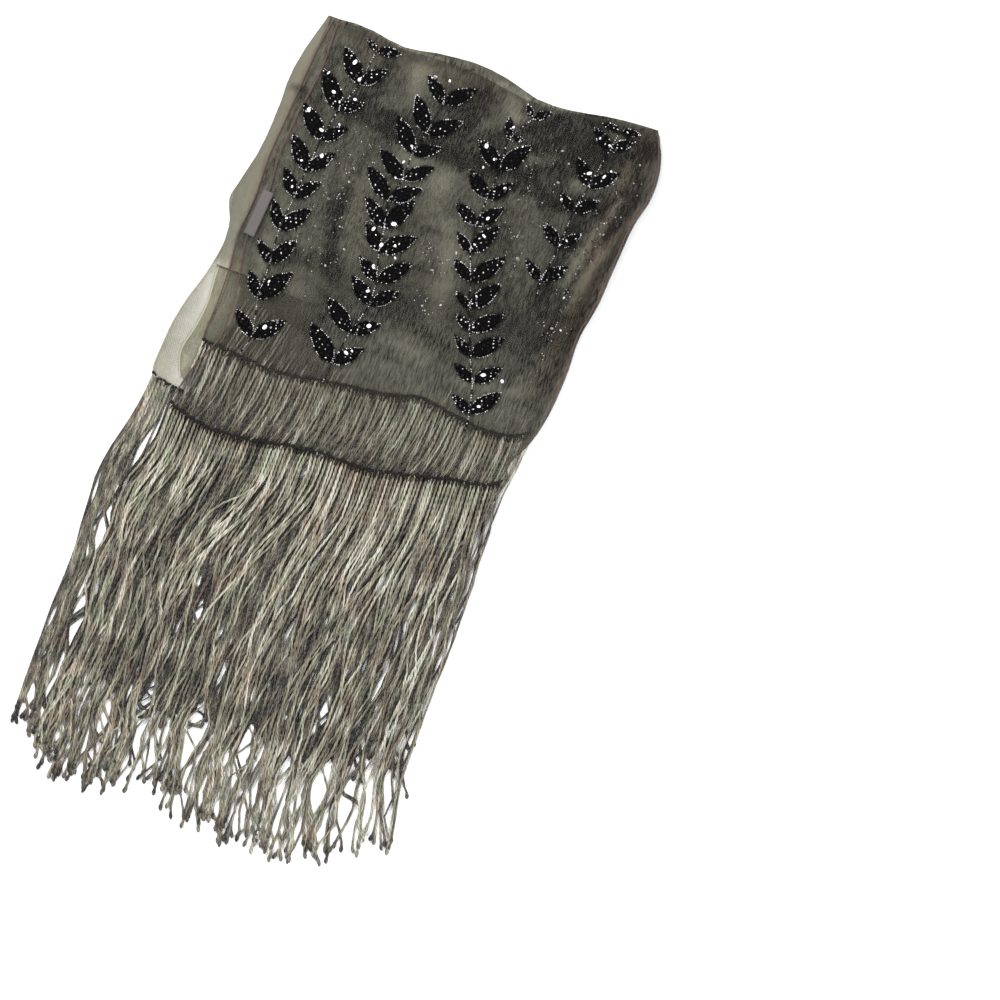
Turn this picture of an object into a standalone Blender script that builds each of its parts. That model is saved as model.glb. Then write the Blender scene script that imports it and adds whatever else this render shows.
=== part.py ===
"""Folded tulle wrap with beaded leaf vines and long fringes, lying flat.

A rectangular stole is folded across, so that its two fringed ends lie on each other and point to -Y,
and then along its length, so that one end wraps round the other: the outer end is the front and the back
of the bundle, and the inner end and the turns between lie in it. The lengthwise fold is at +X and the
open edges are at -X. The tables are in millimetres and the mesh in metres. The origin is under the middle
of the whole outline, on the surface that the wrap lies on.
"""

import math

import bmesh
import bpy
from mathutils import Vector
from mathutils.bvhtree import BVHTree

MM = 0.001

# Cloth, one wall for each ply
PLY = 1.1
GAP = 0.3
BACK_TOP = 2 * PLY + GAP

# Core, the hidden turns of cloth inside the bundle
CORE_THICK = 8.6
CORE_END_THICK = 1.6
CORE_LAYERS = 4
LAYER_ROUND = 1.3
SHOULDER_DROP = 3.0
SHOULDER_WIDE = 22.0
SHOULDER_PAST = 4.0
CORE_LAST_ROW = 14
CORE_TAPER_ROWS = 6
HEM_FALL_START = 0.6
HEM_FALL_ROWS = 2

# Grid that the front plies and the core share: its first two columns are the edges that peek out, and
# the outer front ply has more rows, from the inner end's hem to its own
COLUMNS = 21
ROWS = 18
HEM_ROWS = 4
CORE_COLUMN, INNER_COLUMN, OUTER_COLUMN = 0, 1, 2

# Long edges from the fold at the top (down 0) to the inner end's hem (down 1)
FRONT_EDGES = (
    # down, core_left, inner_left, outer_left, right
    dict(down=0.00, core=-119, inner=-115, outer=-111, right=158),
    dict(down=0.10, core=-127, inner=-119, outer=-110, right=168),
    dict(down=0.20, core=-132, inner=-122, outer=-112, right=170),
    dict(down=0.30, core=-132, inner=-124, outer=-117, right=163),
    dict(down=0.45, core=-136, inner=-127, outer=-119, right=160),
    dict(down=0.56, core=-143, inner=-126, outer=-117, right=158),
    dict(down=0.68, core=-137, inner=-130, outer=-123, right=152),
    dict(down=0.80, core=-139, inner=-127, outer=-117, right=153),
    dict(down=0.92, core=-141, inner=-128, outer=-114, right=151),
    dict(down=1.00, core=-143, inner=-130, outer=-118, right=147),
)
# Long edges of the outer front ply, from the inner end's hem (down 0) to its own (down 1)
HEM_EDGES = (
    # down, left, right
    dict(down=0.00, left=-118, right=147),
    dict(down=0.35, left=-127, right=142),
    dict(down=0.80, left=-134, right=132),
    dict(down=1.00, left=-137, right=138),
)
# Fold at the top, both hems, and how far the core shows past the fold
FRONT_ENDS = (
    # across, fold_y, inner_hem_y, outer_hem_y, core_past_fold
    dict(across=0.00, fold=322, inner=47, outer=-9, past=1),
    dict(across=0.08, fold=323, inner=45, outer=-15, past=1),
    dict(across=0.20, fold=318, inner=43, outer=-17, past=1),
    dict(across=0.35, fold=320, inner=49, outer=-10, past=5),
    dict(across=0.48, fold=318, inner=53, outer=-6, past=7),
    dict(across=0.58, fold=313, inner=57, outer=-7, past=6),
    dict(across=0.64, fold=313, inner=62, outer=-5, past=2),
    dict(across=0.75, fold=315, inner=58, outer=2, past=1),
    dict(across=0.86, fold=320, inner=54, outer=10, past=1),
    dict(across=0.94, fold=322, inner=58, outer=12, past=1),
    dict(across=1.00, fold=324, inner=66, outer=22, past=0),
)

# Long edges of the back plies, from under the fold to their hems
BACK_EDGES = (
    # down, outer_left, inner_left, right
    dict(down=0.00, outer=-114, inner=-110, right=154),
    dict(down=0.18, outer=-126, inner=-122, right=165),
    dict(down=0.36, outer=-130, inner=-126, right=158),
    dict(down=0.49, outer=-149, inner=-138, right=155),
    dict(down=0.54, outer=-138, inner=-134, right=153),
    dict(down=0.68, outer=-142, inner=-137, right=149),
    dict(down=0.82, outer=-155, inner=-135, right=145),
    dict(down=0.94, outer=-159, inner=-144, right=133),
    dict(down=1.00, outer=-160, inner=-137, right=130),
)
# Top and hems of the back plies, hidden but for their first stretch on the left
BACK_ENDS = (
    # across, top_y, outer_hem_y, inner_hem_y
    dict(across=0.00, top=314, outer=8, inner=12),
    dict(across=0.08, top=314, outer=4, inner=9),
    dict(across=0.30, top=312, outer=3, inner=8),
    dict(across=0.60, top=310, outer=6, inner=11),
    dict(across=0.85, top=312, outer=18, inner=23),
    dict(across=1.00, top=316, outer=34, inner=38),
)
BACK_COLUMNS = 15
BACK_ROWS = 14

# Largest folds of the front: ridges rise, troughs sink, and bow bends the line sideways
FOLDS = (
    # start x, y, end x, y, bow, rise, half width
    dict(x0=-96, y0=268, x1=10, y1=252, bow=4, rise=-1.9, wide=15),
    dict(x0=-6, y0=258, x1=80, y1=312, bow=-6, rise=1.7, wide=14),
    dict(x0=40, y0=240, x1=160, y1=306, bow=-8, rise=-2.2, wide=15),
    dict(x0=166, y0=262, x1=112, y1=70, bow=5, rise=1.8, wide=13),
    dict(x0=140, y0=232, x1=82, y1=84, bow=4, rise=-1.4, wide=13),
    dict(x0=-50, y0=236, x1=-58, y1=86, bow=-5, rise=1.3, wide=16),
    dict(x0=14, y0=226, x1=20, y1=96, bow=5, rise=-1.2, wide=15),
    dict(x0=-104, y0=250, x1=-112, y1=96, bow=-3, rise=1.1, wide=12),
)
FOLD_FADE_IN, FOLD_FADE_OUT, FOLD_LEAST = 0.25, 0.2, 0.2

# Beaded vines: the foot of each stem, and its pairs of leaves from the fold down
VINES = dict(
    vine_1=dict(foot=(-97, 47), pairs=(
        # stem x, y, left tip x, y, right tip x, y
        (-74, 309, -83, 317, -55, 315),
        (-78, 279, -97, 305, -62, 299),
        (-87, 254, -107, 283, -70, 268),
        (-92, 227, -113, 252, -76, 245),
        (-95, 200, -113, 226, -79, 222),
        (-97, 177, -110, 198, -82, 197),
        (-100, 149, -110, 171, -82, 174),
        (-98, 122, -112, 138, -85, 147),
        (-98, 92, -110, 112, -80, 122),
        (-92, 61, -110, 80, -72, 84),
    )),
    vine_2=dict(foot=(-27, 46), pairs=(
        (-10, 287, -27, 306, 11, 308),
        (-15, 260, -31, 288, 9, 280),
        (-20, 241, -39, 267, 0, 255),
        (-20, 219, -44, 238, -1, 238),
        (-26, 200, -48, 222, -4, 219),
        (-21, 178, -42, 198, -7, 208),
        (-19, 159, -35, 180, 5, 181),
        (-13, 136, -31, 152, 8, 160),
        (-12, 117, -32, 136, 6, 136),
        (-20, 91, -44, 113, 1, 107),
        (-25, 63, -50, 89, -6, 84),
    )),
    vine_3=dict(foot=(93, 48), pairs=(
        (61, 299, 54, 311, 73, 311),
        (48, 278, 45, 295, 60, 283),
        (50, 252, 27, 272, 66, 280),
        (48, 227, 28, 246, 63, 247),
        (47, 204, 27, 218, 62, 226),
        (50, 182, 36, 196, 63, 211),
        (58, 161, 40, 175, 76, 189),
        (64, 141, 50, 151, 80, 168),
        (70, 124, 56, 135, 91, 146),
        (77, 105, 61, 118, 97, 129),
        (86, 86, 68, 97, 103, 106),
        (92, 62, 75, 73, 109, 87),
    )),
    vine_4=dict(foot=(112, 160), pairs=(
        (130, 313, 115, 317, 146, 318),
        (127, 296, 111, 311, 143, 311),
        (121, 263, 107, 284, 140, 283),
        (116, 240, 103, 253, 132, 257),
        (115, 210, 98, 226, 127, 227),
        (110, 180, 95, 193, 126, 199),
    )),
)
STEM_WIDE = 2.4
STEM_HIGH = 1.4
LEAF_PLUMP = 0.38
LEAF_HIGH = 2.2
LEAF_ROOT = 3.0
LEAF_TIP = 1.0
LEAF_BELLY = 0.42
BEAD_GAP = 0.35
REST_SHARES = (0.25, 0.5, 0.75)

# Woven label on the left edge, blank
LABEL_FOOT = (-126, 138)
LABEL_HEAD = (-122, 176)
LABEL_WIDE = 9.0
LABEL_THICK = 0.8
LABEL_STEPS = 4

# Fringes: strands, the shares of the spread where they begin and end, and the share of the hem that the
# header follows. floors are the heights of the strands' undersides at the hem and at each step from it.
FRINGES = dict(
    outer_front=dict(strands=66, first=0.075, last=1.0, hem=1.0, floors=(4.6, 3.2, 2.5, 2.4, 2.4, 0.4)),
    outer_back=dict(strands=4, first=0.0, last=0.045, hem=0.9, floors=(0.4, 0.4, 0.4, 0.4, 0.4, 0.4)),
    inner=dict(strands=62, first=0.0, last=1.0, hem=1.0, floors=(2.9, 2.7, 0.9, 0.4, 0.4, 0.4)),
)
OUTER_SPREAD = (
    # down, left, right
    dict(down=0.00, left=-160, right=138),
    dict(down=0.10, left=-161, right=139),
    dict(down=0.22, left=-169, right=137),
    dict(down=0.31, left=-171, right=136),
    dict(down=0.45, left=-165, right=136),
    dict(down=0.65, left=-166, right=134),
    dict(down=0.85, left=-168, right=134),
    dict(down=1.00, left=-167, right=143),
)
INNER_SPREAD = (
    dict(down=0.00, left=-130, right=147),
    dict(down=0.20, left=-134, right=141),
    dict(down=0.45, left=-139, right=134),
    dict(down=0.70, left=-139, right=132),
    dict(down=1.00, left=-138, right=132),
)
OUTER_TIPS = (
    # across, tip_y
    dict(across=0.00, tip=-289),
    dict(across=0.10, tip=-306),
    dict(across=0.21, tip=-326),
    dict(across=0.30, tip=-303),
    dict(across=0.50, tip=-308),
    dict(across=0.66, tip=-319),
    dict(across=0.80, tip=-313),
    dict(across=0.92, tip=-306),
    dict(across=1.00, tip=-286),
)
INNER_TIPS = (
    dict(across=0.00, tip=-226),
    dict(across=0.30, tip=-240),
    dict(across=0.45, tip=-245),
    dict(across=0.70, tip=-230),
    dict(across=1.00, tip=-228),
)
STRAND_HIGH = 1.6
FRINGE_LIFT = 0.7
HEADER_WIDE = 2.4
HEADER_GAP = 0.5
STRAND_STEPS = 5
STRAND_SHARE = 0.52
STRAND_TIP = 0.55
LANE_REACH = 0.45
LOCKS = 15
LOCK_PULL = 0.42
SWAY = 2.5
SWAY_TURNS = (1.2, 0.8)
TIP_SPREAD = 11.0
GOLDEN = 0.618034


def linear(value):
    """One sRGB channel, 0 to 1, as linear light."""
    return value / 12.92 if value <= 0.04045 else ((value + 0.055) / 1.055) ** 2.4


def finish(name, colour, roughness, metallic=0.0):
    """A plain Principled material from a hex colour."""
    made = bpy.data.materials.new(name)
    made.use_nodes = True
    shader = made.node_tree.nodes["Principled BSDF"]
    channels = [linear(int(colour[i:i + 2], 16) / 255) for i in (1, 3, 5)]
    shader.inputs["Base Color"].default_value = (*channels, 1.0)
    shader.inputs["Roughness"].default_value = roughness
    shader.inputs["Metallic"].default_value = metallic
    made.diffuse_color = (*channels, 1.0)
    return made


def clear_scene():
    for item in list(bpy.data.objects):
        bpy.data.objects.remove(item)


def add_object(name, mesh_data, material):
    """Closes the bmesh as a named object with outward faces."""
    bmesh.ops.recalc_face_normals(mesh_data, faces=mesh_data.faces[:])
    mesh = bpy.data.meshes.new(name)
    mesh_data.to_mesh(mesh)
    mesh_data.free()
    mesh.materials.append(material)
    item = bpy.data.objects.new(name, mesh)
    bpy.context.scene.collection.objects.link(item)
    return item


def ease(share):
    """0 to 1 with level ends."""
    share = min(max(share, 0.0), 1.0)
    return share * share * (3 - 2 * share)


def blend(low, high, share):
    return low + (high - low) * share


def read(table, key, at, column):
    """The column's value at a place along the table, on a smooth curve through its rows."""
    rows = [row[key] for row in table]
    at = min(max(at, rows[0]), rows[-1])
    first = max(i for i in range(len(rows) - 1) if rows[i] <= at + 1e-9)
    values = [row[column] for row in table]

    def slope(i):
        low, high = max(i - 1, 0), min(i + 1, len(rows) - 1)
        return (values[high] - values[low]) / (rows[high] - rows[low])

    span = rows[first + 1] - rows[first]
    t = (at - rows[first]) / span
    return (
        (2 * t**3 - 3 * t**2 + 1) * values[first]
        + (t**3 - 2 * t**2 + t) * span * slope(first)
        + (3 * t**2 - 2 * t**3) * values[first + 1]
        + (t**3 - t**2) * span * slope(first + 1)
    )


def fold_height(x, y):
    """What the largest folds add to the height at a place, in millimetres."""
    total = 0.0
    for fold in FOLDS:
        run = Vector((fold["x1"] - fold["x0"], fold["y1"] - fold["y0"]))
        away = Vector((x - fold["x0"], y - fold["y0"]))
        along = away.dot(run) / run.length_squared
        aside = (run.x * away.y - run.y * away.x) / run.length
        reach = min(max(along, 0.0), 1.0)
        aside -= fold["bow"] * 4 * reach * (1 - reach)
        past = (along - reach) * run.length
        far = math.hypot(aside, past) / fold["wide"]
        fade = ease(reach / FOLD_FADE_IN) * ease((1 - reach) / FOLD_FADE_OUT)
        total += fold["rise"] * blend(FOLD_LEAST, 1, fade) * math.exp(-far * far)
    return total


def front_across(column):
    """Share of the outer front ply's width at a column, 0 for the edges that peek out on the left."""
    return max(column - OUTER_COLUMN, 0) / (COLUMNS - OUTER_COLUMN)


def front_place(column, row):
    """X and Y of a point of the front grid, in millimetres."""
    across = front_across(column)
    ends = {end: read(FRONT_ENDS, "across", across, end) for end in ("fold", "inner", "outer")}
    if row > ROWS:
        down = (row - ROWS) / HEM_ROWS
        x = blend(*(read(HEM_EDGES, "down", down, side) for side in ("left", "right")), across)
        return x, blend(ends["inner"], ends["outer"], down)
    down = row / ROWS
    if column >= OUTER_COLUMN:
        x = blend(*(read(FRONT_EDGES, "down", down, side) for side in ("outer", "right")), across)
    else:
        x = read(FRONT_EDGES, "down", down, "inner" if column == INNER_COLUMN else "core")
    return x, blend(ends["fold"], ends["inner"], down)


def core_top(column, row):
    """Height of the core's top at a point of the front grid, falling to the back plies past the core."""
    x, y = front_place(column, row)
    body = ease((CORE_LAST_ROW + 0.5 - row) / CORE_TAPER_ROWS)
    thick = blend(CORE_END_THICK, CORE_THICK, body)
    past = ease((row - CORE_LAST_ROW - HEM_FALL_START) / HEM_FALL_ROWS)
    left, right = front_place(CORE_COLUMN, row)[0], front_place(COLUMNS, row)[0]
    near = min(x - left, right - x, front_place(column, 0)[1] - y + SHOULDER_PAST)
    shoulder = SHOULDER_DROP * (1 - ease(near / SHOULDER_WIDE)) * body
    height = (thick + fold_height(x, y) * body - shoulder) * (1 - past)
    return BACK_TOP + GAP * (1 - past) + height


def inner_front(column, row):
    """A point of the inner front ply's top, on the core."""
    x, y = front_place(column, row)
    return x, y, core_top(column, row) + GAP + PLY


def outer_front(column, row):
    """A point of the outer front ply's top, on the inner ply and then on the inner fringe."""
    x, y = front_place(column, row)
    lift = FRINGE_LIFT * ease((row - CORE_LAST_ROW) / (ROWS - CORE_LAST_ROW))
    return x, y, core_top(column, row) + 2 * (GAP + PLY) + lift


def lay_back(side, top):
    """Places points of a back ply, whose long edge and hem are the named columns of the tables."""
    def place(column, row):
        across, down = column / BACK_COLUMNS, row / BACK_ROWS
        left = read(BACK_EDGES, "down", down, side)
        x = blend(left, read(BACK_EDGES, "down", down, "right"), across)
        ends = [read(BACK_ENDS, "across", across, end) for end in ("top", side)]
        return x, blend(*ends, down), top
    return place


def laid_grid(columns, rows, place, first_column=0):
    """A grid of quads laid by place(column, row), and the grid spot of each vertex."""
    sheet = bmesh.new()
    bmesh.ops.create_grid(sheet, x_segments=columns, y_segments=rows, size=0.5)
    spots = {}
    for vert in sheet.verts:
        spot = (round((vert.co.x + 0.5) * columns) + first_column, round((0.5 - vert.co.y) * rows))
        spots[vert] = spot
        vert.co = Vector(place(*spot)) * MM
    return sheet, spots


def thicken(sheet, down):
    """Closes a sheet into a wall by a copy of it moved straight down."""
    copy = bmesh.ops.extrude_face_region(sheet, geom=sheet.faces[:], use_keep_orig=True)["geom"]
    under = [item for item in copy if isinstance(item, bmesh.types.BMVert)]
    bmesh.ops.translate(sheet, verts=under, vec=(0, 0, -down * MM))
    return under


def make_ply(name, columns, rows, place, material, first_column=0):
    sheet, _ = laid_grid(columns, rows, place, first_column)
    thicken(sheet, PLY)
    return add_object(name, sheet, material)


def make_core(material):
    """The hidden layers: their top on the front grid, their sides rounded once for each layer."""
    def place(column, row):
        x, y = front_place(column, row)
        top = core_top(column, row)
        if row > 0:
            return x, y, top
        past = read(FRONT_ENDS, "across", front_across(column), "past")
        slope = (core_top(column, 1) - top) / (y - front_place(column, 1)[1])
        return x, y + past, top - slope * past

    core, _ = laid_grid(COLUMNS, CORE_LAST_ROW, place)
    base = (BACK_TOP + GAP) * MM
    middle = sum((vert.co for vert in core.verts), Vector()) / len(core.verts)
    rim = [edge for edge in core.edges if edge.is_boundary]
    outward = {}
    for edge in rim:
        side = Vector((0, 0, 1)).cross(edge.verts[1].co - edge.verts[0].co)
        side.z = 0
        side.normalize()
        if side.dot((edge.verts[0].co + edge.verts[1].co) / 2 - middle) < 0:
            side.negate()
        for vert in edge.verts:
            outward[vert] = outward.get(vert, Vector()) + side
    start = {vert: vert.co.copy() for vert in outward}
    source = {vert: vert for vert in outward}
    steps = 2 * CORE_LAYERS
    for step in range(1, steps + 1):
        ring = bmesh.ops.extrude_edge_only(core, edges=rim)["geom"]
        rim = [item for item in ring if isinstance(item, bmesh.types.BMEdge)]
        verts = [item for item in ring if isinstance(item, bmesh.types.BMVert)]
        bulge = LAYER_ROUND * MM * (step % 2)
        fresh = {}
        for vert in verts:
            origin = next(source[o] for e in vert.link_edges if (o := e.other_vert(vert)) in source)
            top = start[origin]
            vert.co = top + outward[origin].normalized() * bulge
            vert.co.z = blend(top.z, base, step / steps)
            fresh[vert] = origin
        source = fresh
    bmesh.ops.holes_fill(core, edges=rim, sides=0)
    return add_object("folded_core", core, material)


def surface_of(item):
    """A height reader for the top of an object: millimetres in, millimetres out."""
    shape = bmesh.new()
    shape.from_mesh(item.data)
    tree = BVHTree.FromBMesh(shape)
    shape.free()

    def height(x, y):
        hit = tree.ray_cast(Vector((x * MM, y * MM, 1.0)), Vector((0, 0, -1)))[0]
        if hit is None:
            hit = tree.find_nearest(Vector((x * MM, y * MM, 0.02)))[0]
        return hit.z / MM
    return height


def rest_on(sheet, height, gap):
    """Lifts a flat sheet onto the cloth, and higher where the cloth rises between two of its vertices."""
    for vert in sheet.verts:
        vert.co.z = (height(vert.co.x / MM, vert.co.y / MM) + gap) * MM
    lift = {}
    for edge in sheet.edges:
        for share in REST_SHARES:
            spot = edge.verts[0].co.lerp(edge.verts[1].co, share) / MM
            short = height(spot.x, spot.y) + gap - spot.z
            for vert in edge.verts:
                lift[vert] = max(lift.get(vert, 0.0), short)
    for vert, more in lift.items():
        vert.co.z += more * MM


def draw_leaf(strip, ends, tip, crown):
    """Draws a leaf out of the stem's side between two vertices: to its belly, then to its tip."""
    root = (ends[0].co + ends[1].co).xy / 2 / MM
    reach = tip - root
    aside = Vector((reach.y, -reach.x)).normalized()
    if aside.dot((ends[1].co - ends[0].co).xy) < 0:
        aside.negate()
    belly = LEAF_PLUMP * reach.length
    for far, wide, high in ((LEAF_BELLY, belly, LEAF_HIGH), (1.0, LEAF_TIP, STEM_HIGH)):
        grown = bmesh.ops.extrude_edge_only(strip, edges=[strip.edges.get(ends)])["geom"]
        fresh = [item for item in grown if isinstance(item, bmesh.types.BMVert)]
        ends = [next(vert for vert in fresh if strip.edges.get((vert, end))) for end in ends]
        for vert, side in zip(ends, (-1, 1)):
            spot = root + reach * far + aside * side * wide / 2
            vert.co = Vector((spot.x, spot.y, 0)) * MM
            crown[vert] = high


def make_vine(name, height, material):
    """A stem strip with a pair of leaves drawn out of its sides at each row of its table."""
    pairs = VINES[name]["pairs"]
    knots = [Vector(pair[:2]) for pair in pairs]
    foot = Vector(VINES[name]["foot"])
    spine, leafy = [], []
    for i, knot in enumerate(knots):
        after = knots[i + 1] if i + 1 < len(knots) else foot
        growth = (knot - after).normalized()
        leafy.append(len(spine))
        spine += [(knot + growth * LEAF_ROOT * share, growth) for share in (0.5, -0.5)]
        spine.append(((knot + after) / 2, growth))
    spine.append((foot, spine[-1][1]))

    strip = bmesh.new()
    bmesh.ops.create_grid(strip, x_segments=1, y_segments=len(spine) - 1, size=0.5)
    crown = {}
    rows = {}
    for vert in strip.verts:
        row = round((0.5 - vert.co.y) * (len(spine) - 1))
        side = 1 if vert.co.x > 0 else -1
        spot, growth = spine[row]
        place = spot + Vector((growth.y, -growth.x)) * side * STEM_WIDE / 2
        vert.co = Vector((place.x, place.y, 0)) * MM
        crown[vert] = STEM_HIGH
        rows[row, side] = vert
    for pair, row in zip(pairs, leafy):
        for side, tip in ((-1, pair[2:4]), (1, pair[4:])):
            draw_leaf(strip, (rows[row, side], rows[row + 1, side]), Vector(tip), crown)
    tops = list(strip.verts)
    rest_on(strip, height, BEAD_GAP)
    rise = {vert: crown[vert] * MM for vert in tops}
    thicken(strip, 0)
    for vert in tops:
        vert.co.z += rise[vert]
    return add_object(name, strip, material)


def make_label(height, material):
    """A blank woven strip on the ply's edge, bent to what it lies on."""
    def place(column, row):
        along = Vector(LABEL_HEAD) - Vector(LABEL_FOOT)
        aside = Vector((along.y, -along.x)).normalized() * LABEL_WIDE
        spot = Vector(LABEL_HEAD) - along * row / LABEL_STEPS + aside * column
        return spot.x, spot.y, height(spot.x, spot.y) + BEAD_GAP + LABEL_THICK

    label, _ = laid_grid(1, LABEL_STEPS, place)
    thicken(label, LABEL_THICK)
    return add_object("label", label, material)


def along_line(points, share):
    """A place on a line of straight runs, by its share of the line's length, and the way out of the cloth."""
    runs = [(b - a).length for a, b in zip(points, points[1:])]
    left = share * sum(runs)
    for i, run in enumerate(runs):
        if left <= run or i == len(runs) - 1:
            break
        left -= run
    spot = points[i].lerp(points[i + 1], left / runs[i])
    ahead = (points[min(i + 2, len(points) - 1)] - points[max(i - 1, 0)]).normalized()
    return spot, Vector((ahead.y, -ahead.x))


def make_fringe(name, hem, spread, tips, material):
    """A narrow header along the hem, and strands drawn out of every second cell of its outer side."""
    fringe = FRINGES[name]
    count, floors = fringe["strands"], fringe["floors"]
    cells = 2 * count - 1
    points = [Vector(spot[:2]) for spot in hem]

    def place(column, row):
        spot, out = along_line(points, column / cells * fringe["hem"])
        spot = spot + out * (HEADER_GAP + HEADER_WIDE * row)
        return spot.x, spot.y, floors[0] + STRAND_HIGH

    header, spots = laid_grid(cells, 1, place)
    column_of = {vert: spot[0] for vert, spot in spots.items() if spot[1] == 1}
    outer = [edge for edge in header.edges if edge.is_boundary and all(v in column_of for v in edge.verts)]
    thicken(header, STRAND_HIGH)
    roots = {}
    for edge in outer:
        cell = min(column_of[vert] for vert in edge.verts)
        if cell % 2 == 0:
            roots[cell // 2] = min(edge.link_faces, key=lambda face: face.calc_center_median().z)
    for strand, face in sorted(roots.items()):
        share = strand / (count - 1)
        across = blend(fringe["first"], fringe["last"], share)
        root = face.calc_center_median() / MM
        tip = read(tips, "across", across, "tip") + ((strand * GOLDEN) % 1 - 0.5) * TIP_SPREAD
        for step in range(1, STRAND_STEPS + 1):
            down = step / STRAND_STEPS
            face = bmesh.ops.extrude_discrete_faces(header, faces=[face])["faces"][0]
            turn = 2 * math.pi * LOCKS
            lock = math.sin(turn * across) / turn * LOCK_PULL * down**2
            left, right = (read(spread, "down", down, side) for side in ("left", "right"))
            sway = math.sin(2 * math.pi * (SWAY_TURNS[0] * down + SWAY_TURNS[1] * across))
            x = blend(left, right, across + lock) + SWAY * down * sway
            x = blend(root.x, x, ease(down / LANE_REACH))
            y = blend(root.y, tip, down)
            pitch = (right - left) * (fringe["last"] - fringe["first"]) / (count - 1)
            thin = pitch * STRAND_SHARE * blend(1, STRAND_TIP, down)
            low = sorted(face.verts, key=lambda vert: vert.co.z)
            if step == 1:
                ridge = low[2:]
                bmesh.ops.pointmerge(header, verts=ridge, merge_co=(ridge[0].co + ridge[1].co) / 2)
                low = sorted(face.verts, key=lambda vert: vert.co.z)
            feet = sorted(low[:2], key=lambda vert: vert.co.x)
            for vert, side in zip(feet, (-1, 1)):
                vert.co = Vector((x + side * thin / 2, y, floors[step])) * MM
            low[2].co = Vector((x, y, floors[step] + STRAND_HIGH * blend(1, STRAND_TIP, down))) * MM
    return add_object(name + "_fringe", header, material)


def main():
    clear_scene()
    tulle = finish("tulle", "#6E6A5C", 0.8)
    shaded = finish("tulle_in_layers", "#4C4A42", 0.85)
    cord = finish("fringe_cord", "#8A847A", 0.45)
    beads = finish("glass_beads", "#15141A", 0.15)
    ribbon = finish("label_ribbon", "#8F8886", 0.7)

    outer_back = lay_back("outer", PLY)
    make_ply("outer_back_ply", BACK_COLUMNS, BACK_ROWS, outer_back, tulle)
    make_ply("inner_back_ply", BACK_COLUMNS, BACK_ROWS, lay_back("inner", BACK_TOP), tulle)
    make_core(shaded)
    make_ply("inner_front_ply", COLUMNS - INNER_COLUMN, ROWS, inner_front, tulle, INNER_COLUMN)
    front = make_ply(
        "outer_front_ply", COLUMNS - OUTER_COLUMN, ROWS + HEM_ROWS, outer_front, tulle, OUTER_COLUMN
    )

    height = surface_of(front)
    for name in VINES:
        make_vine(name, height, beads)
    make_label(height, ribbon)

    outer_hem = [outer_front(column, ROWS + HEM_ROWS) for column in range(OUTER_COLUMN, COLUMNS + 1)]
    inner_hem = [inner_front(column, ROWS) for column in range(INNER_COLUMN, COLUMNS + 1)]
    back_hem = [outer_back(column, BACK_ROWS) for column in range(2)]
    make_fringe("outer_front", outer_hem, OUTER_SPREAD, OUTER_TIPS, cord)
    make_fringe("outer_back", back_hem, OUTER_SPREAD, OUTER_TIPS, cord)
    make_fringe("inner", inner_hem, INNER_SPREAD, INNER_TIPS, cord)


main()
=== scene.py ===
"""Looks of a folded tulle wrap with beaded leaf vines and long twisted fringes, lying flat.

Lengths in the tables are in millimetres, and the meshes are in metres. X runs across the folded wrap, Y from
the fringe tips to the folds, and Z up from the surface that it lies on.
"""

import math

import bmesh
import bpy
import numpy as np
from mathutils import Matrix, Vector, noise
from mathutils.bvhtree import BVHTree


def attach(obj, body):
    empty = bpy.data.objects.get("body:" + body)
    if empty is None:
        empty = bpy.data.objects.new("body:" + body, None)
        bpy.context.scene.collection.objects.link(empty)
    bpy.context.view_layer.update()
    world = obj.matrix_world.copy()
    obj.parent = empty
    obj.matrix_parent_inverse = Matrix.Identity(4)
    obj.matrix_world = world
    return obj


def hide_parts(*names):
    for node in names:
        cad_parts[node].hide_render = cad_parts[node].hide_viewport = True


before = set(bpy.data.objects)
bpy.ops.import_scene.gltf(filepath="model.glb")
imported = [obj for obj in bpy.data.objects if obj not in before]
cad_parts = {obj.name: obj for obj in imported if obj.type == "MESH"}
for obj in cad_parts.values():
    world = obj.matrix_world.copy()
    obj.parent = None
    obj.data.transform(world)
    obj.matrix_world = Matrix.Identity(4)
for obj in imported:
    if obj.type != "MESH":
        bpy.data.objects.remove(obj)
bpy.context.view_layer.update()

bl_info = {
    "name": "Folded tulle wrap",
    "version": (1, 0, 0),
    "blender": (4, 5, 0),
    "location": "View3D > Sidebar > Wrap",
    "description": "Dresses a folded wrap: net plies, beaded leaf vines, twisted fringes and a blank label",
    "category": "Add Mesh",
}

MM = 0.001
BODY = "root"


def rows(columns, *values):
    """A table's rows, with its columns named."""
    return [dict(zip(columns.split(), row)) for row in values]


# Columns of a soft stroke: from where to where, its bow sideways and its half width
STROKE = "x0 y0 x1 y1 bow wide "

# Camera straight above the surface, turned a little, in metres and radians
VIEW_CENTRE = (0.1378, 0.0053)
VIEW_TURN = math.radians(19.5)
VIEW_WIDE = 0.8
VIEW_HIGH = 2.4
SENSOR = 36.0
FLOOR_HALF = 3.0
# Places and sizes of the soft lights, in metres
LAMPS = dict(
    key=dict(place=(-0.7, 0.8, 1.5), size=0.4),
    fill=dict(place=(1.5, -1.0, 1.9), size=1.2),
)

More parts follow.
